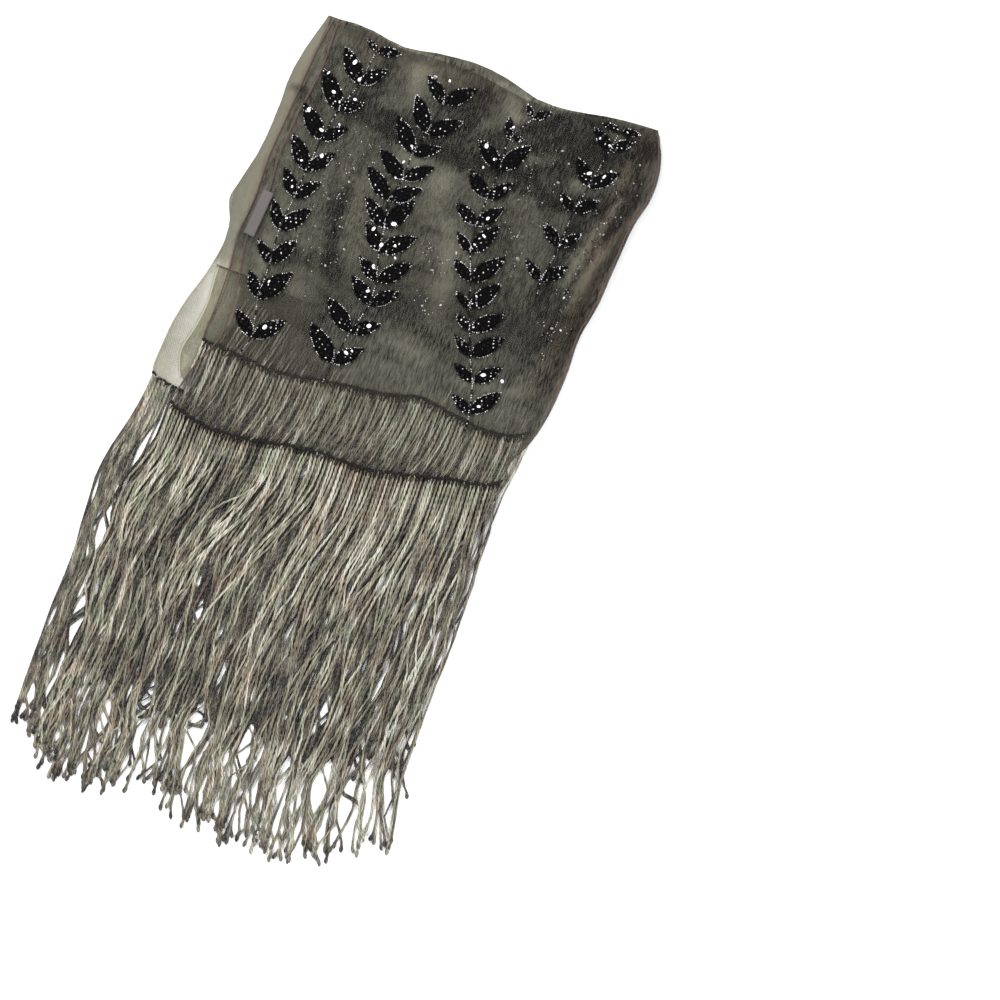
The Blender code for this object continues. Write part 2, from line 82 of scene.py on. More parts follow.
# Sheets: how a ply is merged, cut finer, smoothed and turned down at the lengthwise fold
WELD = 1e-5
UPPER_SIDE = 0.4
SMOOTH_ROUNDS = 14
OUTLINE_ROUNDS = 4
TURN_STEPS = 8
TURN_OUT = 2.4
PLIES = dict(
    # node, fall to where the thinner cloth lies, thread direction in degrees, how much it covers, and shade
    outer_front=dict(node="outer_front_ply", fall=0.0, threads=11, cover=1.0, shade="net"),
    inner_front=dict(node="inner_front_ply", fall=0.0, threads=38, cover=1.0, shade="net"),
    inner_back=dict(node="inner_back_ply", fall=1.0, threads=64, cover=1.6, shade="back"),
    outer_back=dict(node="outer_back_ply", fall=0.55, threads=83, cover=1.9, shade="back"),
)
PLY_CUTS = 5
# The turned side reaches out in full where the ply lies at least this high, and its end lies this low
LEAST_TURN_HIGH = 8
TURN_LOW = 0.5
# Inner layers: how they are cut finer and smoothed, and the height of the foot that stays flat
LAYER_CUTS = 2
LAYER_SMOOTH = 0.4
LAYER_FOOT = 0.4
# Label: how it is cut finer, how far it lies above its solid, and how thick the ribbon is
LABEL_CUTS = 5
LABEL_LIFT = 0.3
LABEL_THICK = 0.35

# Finer creases than the solids have, in the front plies and the layers below them
CREASES = rows(
    "x0 y0 x1 y1 bow rise wide",
    # start x, y, end x, y, bow, rise, half width
    (-104, 318, -108, 150, 3, -0.7, 4),
    (-98, 300, -104, 70, -4, 0.6, 5),
    (-60, 318, -72, 262, 3, -0.7, 6),
    (-34, 322, -30, 270, -3, 0.8, 7),
    (20, 320, 8, 262, 4, -0.7, 6),
    (34, 316, 60, 262, 3, 0.7, 6),
    (92, 318, 70, 270, -4, -0.8, 6),
    (118, 320, 150, 280, 3, 0.8, 6),
    (66, 240, 154, 262, -5, -0.8, 6),
    (82, 256, 160, 290, -4, 0.7, 5),
    (150, 250, 120, 120, 4, 0.7, 6),
    (158, 210, 132, 70, 3, -0.7, 5),
    (-64, 210, -40, 110, -5, -0.6, 8),
    (-40, 238, 26, 222, 4, 0.6, 7),
    (24, 214, 40, 96, 5, 0.6, 8),
    (-60, 96, 40, 84, 5, -0.5, 8),
    (60, 84, 140, 96, -5, 0.5, 7),
    (-152, 20, -136, 120, 3, 0.9, 4),
    (-146, 14, -132, 96, -2, -0.3, 3),
)
# Soft unevenness of the same cloth: the width of its waves, and how far it goes up and aside
RUMPLE = dict(wave=26.0, high=0.35, aside=0.7, seed=4)

# Soft dark and pale strokes: cloth thick or thin below the front, and painted shade and light of the folds
SHADES = rows(
    STROKE + "dark",
    # start x, y, end x, y, bow, half width, dark above 0 or pale below it
    (-74, 263, -3, 257, -4, 9, 1.2),
    (-3, 255, 34, 251, 1, 8, 1.2),
    (54, 249, 96, 264, -3, 8, 1.2),
    (94, 264, 134, 298, 2, 10, 1.0),
    (55, 287, 110, 290, -1, 6.5, 0.8),
    (110, 290, 162, 307, -2, 6, 0.7),
    (118, 288, 156, 278, 2, 8, 0.3),
    (58, 304, 80, 270, 0, 12, 0.27),
    (96, 316, 158, 310, 0, 7, 0.24),
    (-80, 215, -62, 120, 3, 16, -0.17),
    (-84, 133, -44, 131, 1, 7, 0.3),
    (-46, 215, -44, 120, -3, 12, -0.1),
    (-16, 122, 10, 112, 0, 8, 0.3),
    (8, 130, 46, 110, 2, 9, 0.3),
    (62, 240, 66, 100, 4, 13, 0.18),
    (92, 160, 96, 90, 0, 14, 0.21),
    (132, 256, 122, 116, -4, 15, 0.24),
    (152, 284, 156, 200, 3, 9, 0.27),
    (-58, 86, -46, 82, 0, 8, 0.27),
    (10, 190, 42, 188, 1, 3.5, 0.21),
    (2, 157, 44, 160, -1, 3.5, 0.21),
    (-50, 108, 44, 107, 3, 5, 0.18),
    (-62, 85, 62, 84, -2, 3.5, 0.18),
    (60, 74, 140, 84, 2, 4, 0.18),
    (-124, 322, -136, 60, 0, 11, -0.1),
    (-118, 327, 172, 327, -4, 6, 0.15),
    (-58, 304, -14, 304, 0, 12, -0.2),
    (6, 240, 18, 200, 0, 12, -0.2),
    (6, 288, 52, 270, 0, 15, 0.28),
    (72, 296, 110, 306, 0, 9, 0.25),
    (14, 176, 32, 150, 0, 11, -0.06),
    (2, 98, 40, 94, 0, 9, -0.35),
    (-68, 110, -60, 60, 0, 13, -0.3),
    (84, 236, 88, 200, 0, 10, -0.2),
    # Crisp lines of painted shade, or light below 0, beside the soft strokes where a fold below has a sharp
    # edge
    (-76, 270, -8, 264, -3, 2.2, 0.4),
    (0, 249, 36, 246, 1, 2, 0.4),
    (56, 242, 98, 258, -3, 2.4, 0.4),
    (98, 272, 132, 302, 2, 2.4, 0.4),
    (22, 268, 84, 296, 4, 2.5, 0.3),
    (-16, 330, -12, 296, 1, 2, 0.35),
    (-117, 322, -124, 180, 1, 1.6, 0.25),
    (-128, 262, -112, 256, 1, 2, 0.3),
    (154, 292, 161, 262, 1, 2, 0.35),
    (162, 273, 129, 138, -5, 4, 0.6),
    (124, 247, 113, 171, 0, 4, 0.4),
    (138, 160, 112, 92, -3, 4, 0.4),
    (150, 260, 129, 185, -2, 4, -0.5),
    (168, 262, 143, 188, -3, 4, -0.4),
    (60, 269, 104, 277, -1, 4.5, -0.5),
    (104, 277, 140, 303, 2, 3.5, -0.4),
    (66, 234, 100, 252, -3, 3.5, -0.25),
    (-70, 250, -8, 247, -3, 4, -0.2),
    (20, 278, 80, 304, 4, 4, -0.25),
    (-78, 252, -70, 130, 3, 3, 0.25),
    (-52, 240, -60, 140, -3, 3, 0.25),
    (2, 242, 24, 206, -3, 2, 0.2),
    (0, 118, 58, 106, 2, 3, 0.3),
    (-70, 120, -46, 112, 1, 2.5, 0.25),
    (104, 122, 140, 112, -2, 3, 0.25),
    (-117, 96, -115, 68, 0, 4.5, -0.8),
    (-100, 82, -92, 56, 0, 12, -0.3),
    (-124, 116, -122, 58, 0, 8, -0.45),
    # Painted light over the shadow at the end of the inner layers
    (-142, 106, -112, 104, 0, 2.6, -0.7),
    (-40, 102, 58, 98, 2, 9, 0.12),
    (10, 92, 40, 84, 0, 9, -0.12),
)
# Darkness where no stroke lies; painted shade of a sunk crease, painted light of a raised one, per millimetre
BASE_DARK = 0.63
CREASE_SHADE = 0.8
# The most that being drawn together may add, and how much a ply dims where the cloth is darkest
MOST_HIDDEN = 0.92
SHADE_DEPTH = 0.72

# Where each ply is drawn together and hides more of what is below, and where the inner layers lie smooth
GATHERS = dict(
    layers=rows(
        STROKE + "hide",
        (-126, 326, -142, 96, 0, 13, 1.0),
        (-20, 330, 170, 330, -4, 8, 0.8),
    ),
    outer_front=rows(
        STROKE + "hide",
        # start x, y, end x, y, bow, half width, how much more it hides
        (169, 306, 161, 196, 0, 5, 0.6),
        (160, 200, 148, 40, 0, 6, 0.85),
        (-96, 323, -30, 320, 0, 6, 0.6),
        (20, 326, 165, 328, -4, 6, 0.75),
        (-126, 316, -134, 170, 0, 6, 0.35),
        (-134, 150, -132, 10, 0, 4, 0.4),
        (-117, 94, -115, 66, 0, 3.5, 0.9),
    ),
    inner_front=rows(
        STROKE + "hide",
        (-12, 84, 128, 90, 0, 38, 1.4),
        (160, 200, 140, 60, 0, 9, 0.7),
        (-128, 140, -126, 110, 0, 4, 0.3),
    ),
    inner_back=rows(
        STROKE + "hide",
        (-136, 150, -137, 20, 2, 5, 0.45),
    ),
    outer_back=rows(
        STROKE + "hide",
        (-152, 120, -156, 8, -3, 16, 0.22),
        (-140, 290, -146, 150, 0, 12, 0.3),
        (-158, 110, -164, 8, -3, 2.5, 0.3),
    ),
)

# Where the cloth looks a little redder
REDDENED = rows(
    STROKE + "warm",
    # start x, y, end x, y, bow, half width, how much
    (150, 310, 142, 110, 4, 14, 0.5),
    (-122, 318, -130, 160, 0, 12, 0.25),
    (-100, 316, 20, 312, 0, 14, 0.3),
    (-124, 112, -118, 40, 0, 8, 0.4),
)

# Beaded vines on the outer front ply: the foot of each stem, and its pairs of leaves from the fold down
VINES = dict(
    vine_1=dict(foot=(-97, 47), pairs=(
        # stem x, y, left tip x, y, right tip x, y
        (-74, 309, -83, 317, -55, 315),
        (-78, 279, -97, 305, -62, 299),
        (-87, 254, -107, 283, -70, 268),
        (-92, 227, -113, 252, -76, 245),
        (-95, 200, -113, 226, -79, 222),
        (-97, 177, -110, 198, -82, 197),
        (-100, 149, -110, 171, -82, 174),
        (-98, 122, -112, 138, -85, 147),
        (-98, 92, -110, 112, -80, 122),
        (-92, 61, -110, 80, -72, 84),
    )),
    vine_2=dict(foot=(-27, 46), pairs=(
        (-10, 287, -27, 306, 11, 308),
        (-15, 260, -31, 288, 9, 280),
        (-20, 241, -39, 267, 0, 255),
        (-20, 219, -44, 238, -1, 238),
        (-26, 200, -48, 222, -4, 219),
        (-21, 178, -42, 198, -7, 208),
        (-19, 159, -35, 180, 5, 181),
        (-13, 136, -31, 152, 8, 160),
        (-12, 117, -32, 136, 6, 136),
        (-20, 91, -44, 113, 1, 107),
        (-25, 63, -50, 89, -6, 84),
    )),
    vine_3=dict(foot=(93, 48), pairs=(
        (61, 299, 54, 311, 73, 311),
        (48, 278, 45, 295, 60, 283),
        (50, 252, 27, 272, 66, 280),
        (48, 227, 28, 246, 63, 247),
        (47, 204, 27, 218, 62, 226),
        (50, 182, 36, 196, 63, 211),
        (58, 161, 40, 175, 76, 189),
        (64, 141, 50, 151, 80, 168),
        (70, 124, 56, 135, 91, 146),
        (77, 105, 61, 118, 97, 129),
        (86, 86, 68, 97, 103, 106),
        (92, 62, 75, 73, 109, 87),
    )),
    vine_4=dict(foot=(112, 160), pairs=(
        (130, 313, 115, 317, 146, 318),
        (127, 296, 111, 311, 143, 311),
        (121, 263, 107, 284, 140, 283),
        (116, 240, 103, 253, 132, 257),
        (115, 210, 98, 226, 127, 227),
        (110, 180, 95, 193, 126, 199),
    )),
)
# Vines on the hidden ply below, seen as pale specks through the net
HIDDEN_VINES = (
    dict(foot=(-62, 100), pairs=(
        (-54, 236, -72, 254, -38, 252),
        (-60, 210, -78, 228, -46, 226),
        (-64, 184, -80, 204, -50, 200),
        (-66, 160, -82, 178, -50, 176),
        (-66, 134, -82, 152, -46, 148),
    )),
    dict(foot=(30, 108), pairs=(
        (28, 158, 18, 178, 42, 176),
        (30, 126, 18, 142, 44, 140),
    )),
    dict(foot=(86, 168), pairs=(
        (74, 262, 62, 280, 90, 284),
        (78, 232, 66, 250, 94, 262),
        (82, 206, 70, 218, 92, 226),
        (86, 182, 76, 194, 94, 202),
    )),
    dict(foot=(130, 108), pairs=(
        (150, 262, 140, 284, 158, 284),
        (140, 232, 132, 250, 152, 252),
        (136, 206, 126, 222, 150, 226),
        (134, 168, 124, 184, 146, 186),
        (132, 138, 120, 152, 144, 154),
    )),
)
# Sequins painted near white as glints, and then dimmer ones under the net
GLINTS = (
    # x, y, half length, half width
    (-87, 295, 2.6, 1.6), (-79, 283, 1.7, 1.4), (-104, 280, 1.8, 0.8), (-95, 267, 1.8, 1.4),
    (-77, 267, 1.6, 1.2), (-88, 261, 1.2, 0.8), (-109, 247, 2.0, 1.4), (-94, 235, 2.1, 1.3),
    (-82, 244, 1.2, 0.8), (-87, 216, 2.0, 1.5), (-101, 207, 1.2, 0.8), (-22, 247, 1.4, 1.0),
    (-24, 233, 1.5, 0.9), (-26, 219, 1.2, 0.8), (-15, 184, 2.3, 1.7), (-29, 175, 2.0, 1.4),
    (-19, 165, 2.0, 1.5), (-8, 168, 1.4, 1.0), (-5, 159, 1.3, 0.9), (34, 267, 2.3, 1.7),
    (43, 259, 1.3, 1.0), (37, 250, 1.2, 0.8), (49, 288, 1.3, 0.8), (59, 240, 1.5, 1.2),
    (54, 213, 1.7, 1.2), (56, 199, 2.0, 1.3), (51, 190, 1.2, 0.8), (118, 274, 2.3, 1.5),
    (130, 275, 2.2, 1.0), (134, 281, 1.1, 0.8), (104, 247, 1.2, 0.8), (119, 217, 1.2, 0.8),
    (117, 303, 1.2, 0.8), (126, 300, 1.4, 0.9), (-19, 147, 2.0, 1.5), (-17, 127, 1.7, 1.2),
    (-7, 101, 2.2, 1.8), (-17, 75, 2.2, 1.4), (-13, 78, 1.3, 0.8), (-85, 73, 2.8, 1.6),
    (-94, 108, 1.4, 0.9), (92, 95, 2.2, 1.9), (97, 70, 1.7, 1.2), (-88, 142, 1.3, 0.9),
    (66, 152, 1.3, 0.8), (-101, 185, 1.3, 0.9), (-97, 160, 1.2, 0.8), (72, 128, 1.2, 0.7),
    (-11, 306, 1.2, 0.8), (61, 276, 1.1, 0.7), (108, 95, 1.7, 1.4),
)
GHOSTS = (
    # x, y, half length, half width
    (87, 191, 1.9, 1.4), (92, 284, 1.2, 0.9), (100, 276, 1.0, 0.8), (97, 259, 1.5, 1.0),
    (-23, 306, 1.7, 1.2), (-20, 302, 1.3, 1.0), (145, 232, 1.1, 0.8), (132, 174, 1.3, 1.0),
    (154, 294, 1.1, 0.8), (39, 179, 1.7, 1.3), (-56, 135, 1.3, 1.0), (28, 131, 1.6, 1.2),
    (31, 128, 1.0, 0.8), (41, 136, 1.4, 0.9), (131, 148, 1.5, 1.0), (-71, 186, 1.3, 0.9),
    (-46, 152, 1.3, 1.0), (138, 149, 1.2, 0.9), (154, 198, 1.2, 0.8), (-60, 204, 1.1, 0.8),
    (-55, 168, 1.1, 0.8), (26, 160, 1.2, 0.9),
)
# Leaves: width against length, and the bend of the middle line
LEAF_PLUMP = 0.42
LEAF_BEND = 1.6
# Gap between stem and leaf, and the steps from bead to bead and from sequin to sequin
STEM_GAP = 1.2
RIM_STEP = 1.7
STEM_STEP = 1.9
SEQUIN_STEP = 1.45
# Shares of the rim's beads and of the sequins that flash
RIM_FLASH = 0.5
SEQUIN_FLASH = 0.3
# Share of the hidden beads that catch any light, and how far they stray
HIDDEN_KEPT = 0.5
HIDDEN_STRAY = 1.1
BEAD_SIDES = (7, 5)
# Sizes of beads and sequins against the usual one, where they are plain and where they flash
BEAD_SIZES = dict(plain=(0.88, 1.1), bright=(0.25, 0.58))
SEQUIN_SIZES = dict(plain=(0.85, 1.05), bright=(0.12, 0.4))
# How far they stray from their places, and how thick a sequin is and how high each kind lies
SEWN_STRAY = 0.16
SEQUIN_SIDES = 8
SEQUIN_THICK = 0.4
SEQUIN_LIFT = 1.2
GLINT_LIFT = 1.5
GHOST_LIFT = 0.8
# Backing of a leaf: its width against the leaf's, how high it lies and how plump it is
BACKING_SHARE = 0.92
BACKING_LIFT = 0.35
BACKING_HIGH = 0.5

# Fringes: strands, the shares of the spread between which they hang, the heights of their middles at equal
# steps from the hem to the tips, how pale they are, how much painted shade dims them under the outermost
# ones, the share of them whose ends are drawn up, and how much more they crowd to the left, above 1
FRINGES = dict(
    outer_front=dict(
        strands=138, first=0.075, last=1.0, heights=(5.2, 4.6, 4.0, 3.6, 2.9, 1.5), tone=0.61, under=0.0,
        drawn_up=0.06, crowd=1.0, seed=3,
    ),
    outer_back=dict(
        strands=142, first=0.0, last=1.0, heights=(1.2, 1.1, 1.1, 1.1, 1.1, 1.1), tone=0.5, under=0.16,
        drawn_up=0.5, crowd=1.5, seed=5,
    ),
    inner_front=dict(
        strands=120, first=0.0, last=1.0, heights=(3.8, 3.3, 2.6, 2.3, 2.0, 1.5), tone=0.68, under=0.34,
        drawn_up=0.0, crowd=1.0, seed=7,
    ),
    inner_back=dict(
        strands=90, first=0.02, last=0.97, heights=(2.6, 2.5, 1.9, 1.6, 1.5, 1.3), tone=0.62, under=0.4,
        drawn_up=0.0, crowd=1.0, seed=9,
    ),
)
OUTER_SPREAD = rows(
    "down left right",
    (0.00, -160, 138),
    (0.10, -161, 139),
    (0.22, -169, 137),
    (0.31, -171, 136),
    (0.45, -165, 136),
    (0.65, -166, 134),
    (0.85, -168, 134),
    (1.00, -167, 143),
)
INNER_SPREAD = rows(
    "down left right",
    (0.00, -130, 147),
    (0.20, -134, 137),
    (0.45, -142, 131),
    (0.70, -143, 130),
    (1.00, -142, 130),
)
OUTER_TIPS = rows(
    "across tip",
    (0.00, -289),
    (0.10, -306),
    (0.21, -326),
    (0.30, -303),
    (0.50, -308),
    (0.66, -319),
    (0.80, -313),
    (0.92, -306),
    (1.00, -286),
)
INNER_TIPS = rows(
    "across tip",
    (0.00, -226),
    (0.30, -240),
    (0.45, -245),
    (0.70, -230),
    (1.00, -228),
)
# The inner end's back ply ends higher than its front one, under it
HIDDEN_HEM = rows(
    "x y z",
    (-108, 90, 2.6),
    (-60, 80, 2.6),
    (20, 76, 2.6),
    (90, 86, 2.6),
    (144, 98, 2.6),
)
# Groups of the outermost strands that were swept aside and lie across the others
SWEEPS = rows(
    "first last aside start end",
    # first and last share of the hem, how far they go aside, and between which shares of the way down
    (0.33, 0.36, -22, 0.0, 0.6),
    (0.47, 0.49, -18, 0.0, 0.6),
    (0.60, 0.62, 18, 0.2, 0.8),
    (0.76, 0.79, -20, 0.1, 0.7),
    (0.16, 0.18, 17, 0.3, 0.9),
    (0.90, 0.915, -16, 0.35, 0.95),
)
# Soft patches of painted shade on the fringes, and of painted light below 0
FRINGE_SHADES = rows(
    STROKE + "dim",
    # start x, y, end x, y, bow, half width, how much dimmer
    (-150, -216, 128, -226, 3, 11, 0.2),
    (-72, -58, -112, -132, 0, 13, 0.22),
    (-60, -140, -96, -204, 3, 11, 0.22),
    (34, -146, 22, -206, 0, 12, 0.2),
    (92, -96, 86, -196, -3, 8, 0.22),
    (126, -4, 120, -64, 0, 10, 0.15),
    (-134, -130, -142, -206, 2, 9, 0.16),
    (-130, -17, 138, 8, -4, 5, 0.12),
    (-124, -270, -118, -312, 0, 12, 0.2),
    (-18, -26, -44, -108, 0, 24, -0.1),
    (60, -36, 46, -112, 0, 16, -0.06),
)
# Places where the strands part and show the floor
PARTINGS = rows(
    "x y wide long",
    # x, y, half width, half length
    (-155, -122, 4.5, 13),
    (-150, -192, 4.0, 18),
    (-17, -27, 2.6, 11),
    (-60, -160, 4.0, 9),
    (-74, -244, 4.5, 16),
    (-102, -262, 4.0, 18),
    (-32, -248, 6.0, 20),
    (12, -258, 5.0, 18),
    (50, -262, 4.0, 14),
    (62, -204, 2.5, 9),
    (80, -256, 5.0, 18),
    (104, -262, 4.0, 14),
    (-132, -286, 3.0, 12),
)
# How far the middle of the fringe leans to the left, as a share of its width
LEAN = 0.06
# Locks: their widths against each other, and how they differ in length, lean and tone
LOCKS = 21
LOCK_START = 0.4
LOCK_PULL = (0.3, 0.8)
LOCK_WIDE = (0.55, 1.5)
LOCK_LONGER = 9
LOCK_LEAN = 3.0
LOCK_TONE = 0.05
# How strands stray: at the tips, sideways, and the few that stray further
TIP_STRAY = 4.5
SIDE_STRAY = 6.5
WILD = dict(share=0.06, more=2.5)
TONE_STRAY = 0.15
# Waves sideways and up: how many from hem to tip, and how far
SIDE_WAVES = ((1.3, 4.2), (3.1, 2.2), (5.3, 1.1), (9.5, 0.5))
RISE_WAVES = ((2.3, 0.45), (5.7, 0.3))
# Curl near the tips: where it starts, its turns, how far, and the share that curl more
CURL = dict(start=0.72, turns=5.2, size=2.0, share=0.2, more=2.6)
# Strands whose ends are drawn up: past which share of the width, and by how much
DRAWN_UP = dict(past=0.14, least=45, most=85)
# How high swept strands lie above the others, how far strands may leave the spread, and the lowest middle
SWEPT_LIFT = 1.1
PAST_SPREAD = 4
LOWEST = 1.15
# Least gap above the surface that the wrap lies on
CLEAR = 0.05
# Sides of a strand, and rings from its hem to its tip
STRAND_SIDES = 6
STRAND_RINGS = 27
# Knot at a strand's end: shares of the way down and how many times the cord's thickness
KNOT = ((0.982, 1.1), (0.987, 1.6), (0.992, 1.8), (0.996, 1.5), (1.0, 0.8))
# Hem knots: their step, near which the strands start
KNOT_STEP = 3.2
# Hem knots and the wound thread below each: half sizes, how far down, how high, and how uneven
HEM_KNOT = dict(size=(1.6, 1.4, 1.2), down=(-0.2, 1.4), up=0.8)
HEM_WIND = dict(size=(0.5, 3.4, 0.8), down=(2.2, 4.0), up=0.6)
HEM_KNOTS_PER_STEP = 2.4
HEM_KNOT_UNEVEN = (0.75, 1.2)
HEM_KNOT_TURN = 0.5
HEM_KNOT_SIDES = (8, 5)
# The back hem has knots only left of here, where it shows
BACK_HEM_SHOWS = -118
# Where a strand leaves its hem: down from it, and below it or above it
HEM_DOWN = 0.8
HEM_BELOW = 0.6
BACK_HEM_ABOVE = 0.4


def linear(shade):
    """An sRGB hex colour as linear light, with full cover."""
    channels = [int(shade[i:i + 2], 16) / 255 for i in (1, 3, 5)]
    return tuple(c / 12.92 if c <= 0.04045 else ((c + 0.055) / 1.055) ** 2.4 for c in channels) + (1.0,)


def tint(name, text, shade):
    """A colour that a user may change."""
    return bpy.props.FloatVectorProperty(
        name=name, description=text, subtype="COLOR", size=4, min=0, max=1, default=linear(shade)
    )


def measure(name, text, default, least):
    """A length in metres that a user may change."""
    return bpy.props.FloatProperty(
        name=name, description=text, default=default, min=least, unit="LENGTH", precision=5
    )


def factor(name, text, default):
    """A share from 0 to 1 that a user may change."""
    return bpy.props.FloatProperty(
        name=name, description=text, default=default, min=0, max=1, subtype="FACTOR"
    )


def power(name, text, default):
    """The strength of a light that a user may change."""
    return bpy.props.FloatProperty(name=name, description=text, default=default, min=0)


class ClothLooks(bpy.types.PropertyGroup):
    """Net, its layers and its rolled edges."""

    thickness: measure("Cloth thickness", "Thickness of one ply of net", 0.00035, 0.0001)
    mesh_pitch: measure("Net pitch", "Width of one hole of the net as drawn", 0.0014, 0.0005)
    hole_cover: factor("Hole cover", "How much a hole of the net hides", 0.11)
    thread_cover: factor("Thread cover", "How much a thread of the net hides", 0.18)
    roll: measure("Rolled edge", "Thickness of the rolled edge", 0.0011, 0.0005)
    net: tint("Net", "Colour of the net", "#4A4A3F")
    net_deep: tint("Net in shade", "Second colour of the net, in soft clouds", "#46413B")
    net_drawn: tint("Net drawn together", "Colour of the net where it is drawn in", "#6A695D")
    back: tint("Back net", "Colour of the net where it lies single, over the floor", "#8C8A72")
    back_deep: tint("Back net in shade", "Second colour of that net, in soft clouds", "#7C7768")
    back_drawn: tint("Back net drawn in", "Colour of that net where it is drawn in", "#9A9780")
    layers_pale: tint("Layers", "Colour of the layers within the bundle", "#8E8D7C")
    # Near black where the layers lie thick and where painted shade of folds and creases falls
    layers_deep: tint("Layers in shade", "Their colour where they lie thick", "#141312")
    edge: tint("Edge", "Colour of the rolled edges", "#3E2C26")
    edge_back: tint("Back edge", "Colour of the back plies' rolled edges, which are thin", "#8B8572")


class BeadLooks(bpy.types.PropertyGroup):
    """Beads and sequins of the vines."""

    bead: measure("Bead", "Width of a seed bead", 0.0018, 0.0005)
    sequin: measure("Sequin", "Width of a sequin", 0.0028, 0.001)
    jet: tint("Jet", "Colour of the black glass", "#030304")
    # Near white with little metal, so the beads and sequins that flash are painted glints
    lined: tint("Lined glass", "Colour of the silver-lined beads", "#FFFBFD")
    foil: tint("Foil", "Colour of the sequins", "#030304")
    # Near white with little metal: painted glints of the hidden beads, seen through the net
    hidden: tint("Hidden beads", "Colour of the beads under the net", "#F4F2EC")


class FringeLooks(bpy.types.PropertyGroup):
    """Twisted cords of the fringes."""

    cord: measure("Cord", "Thickness of a fringe cord", 0.0020, 0.0005)
    twist: measure("Twist", "Length of one turn of the cord's twist", 0.0052, 0.001)
    gap: tint("Cord in shade", "Darkest cord", "#1D1A15")
    dim: tint("Dim cord", "Dim cord, a little brown", "#5C554A")
    plain: tint("Plain cord", "Most of the cord", "#86826F")
    pale: tint("Pale cord", "Palest cord", "#BDBAAC")
    thread: tint("Knot thread", "Thread of the knots along the hems", "#0C0B0A")


class StageLooks(bpy.types.PropertyGroup):
    """Floor and light."""

    floor: tint("Floor", "Colour of the floor", "#FAFAF9")
    key: power("Key light", "Power of the main light", 33)
    fill: power("Fill light", "Power of the soft light", 44)
    sky: power("Surroundings", "Light all round", 0.84)


class WrapLooks(bpy.types.PropertyGroup):
    """All that a user may change."""

    cloth: bpy.props.PointerProperty(type=ClothLooks)
    beads: bpy.props.PointerProperty(type=BeadLooks)
    fringe: bpy.props.PointerProperty(type=FringeLooks)
    stage: bpy.props.PointerProperty(type=StageLooks)


# Height readers of the plies, and their free edges, as the plies are laid
laid = {}


def ease(share):
    """0 to 1 with level ends."""
    share = np.clip(share, 0.0, 1.0)
    return share * share * (3 - 2 * share)


def column(table, key, at, name):
    """A named column of a table, read between its rows."""
    return np.interp(at, [row[key] for row in table], [row[name] for row in table])


def add_node(tree, kind, inputs=None, stops=(), **settings):
    """Adds a node, sets its properties and ramp, and fills its inputs with values or with links."""
    made = tree.nodes.new("ShaderNode" + kind)
    for name, value in settings.items():
        setattr(made, name, value)
    for name, value in (inputs or {}).items():
        if isinstance(value, bpy.types.NodeSocket):
            tree.links.new(value, made.inputs[name])
        else:
            made.inputs[name].default_value = value
    for i, (place, shade) in enumerate(stops):
        steps = made.color_ramp.elements
        step = steps[i] if i < 2 else steps.new(place)
        step.position = place
        step.color = shade
    return made


def new_material(name, **sockets):
    """A Principled material, the tree of its nodes and its shader, with the shader's constant sockets set."""
    made = bpy.data.materials.get(name)
    if made:
        bpy.data.materials.remove(made)
    made = bpy.data.materials.new(name)
    made.use_nodes = True
    tree = made.node_tree
    shader = tree.nodes["Principled BSDF"]
    for socket, value in sockets.items():
        shader.inputs[socket.replace("_", " ")].default_value = value
    return made, tree, shader


def surface(tree, shader, colour, height=None, strength=0.0, distance=0.0):
    """Links a shader's colour and, where there is a height, its small relief."""
    tree.links.new(colour, shader.inputs["Base Color"])
    if height:
        bump = add_node(tree, "Bump", {"Height": height, "Strength": strength, "Distance": distance})
        tree.links.new(bump.outputs[0], shader.inputs["Normal"])


def reddened(tree, shade):
    """A socket with the shade, a little redder where the cloth is painted so."""
    warm = add_node(tree, "Attribute", attribute_name="warm")
    redder = add_node(
        tree, "Mix", {0: warm.outputs["Fac"], 6: shade, 7: linear("#FFDCD0")}, data_type="RGBA",
        blend_type="MULTIPLY",
    )
    return redder.outputs[2]


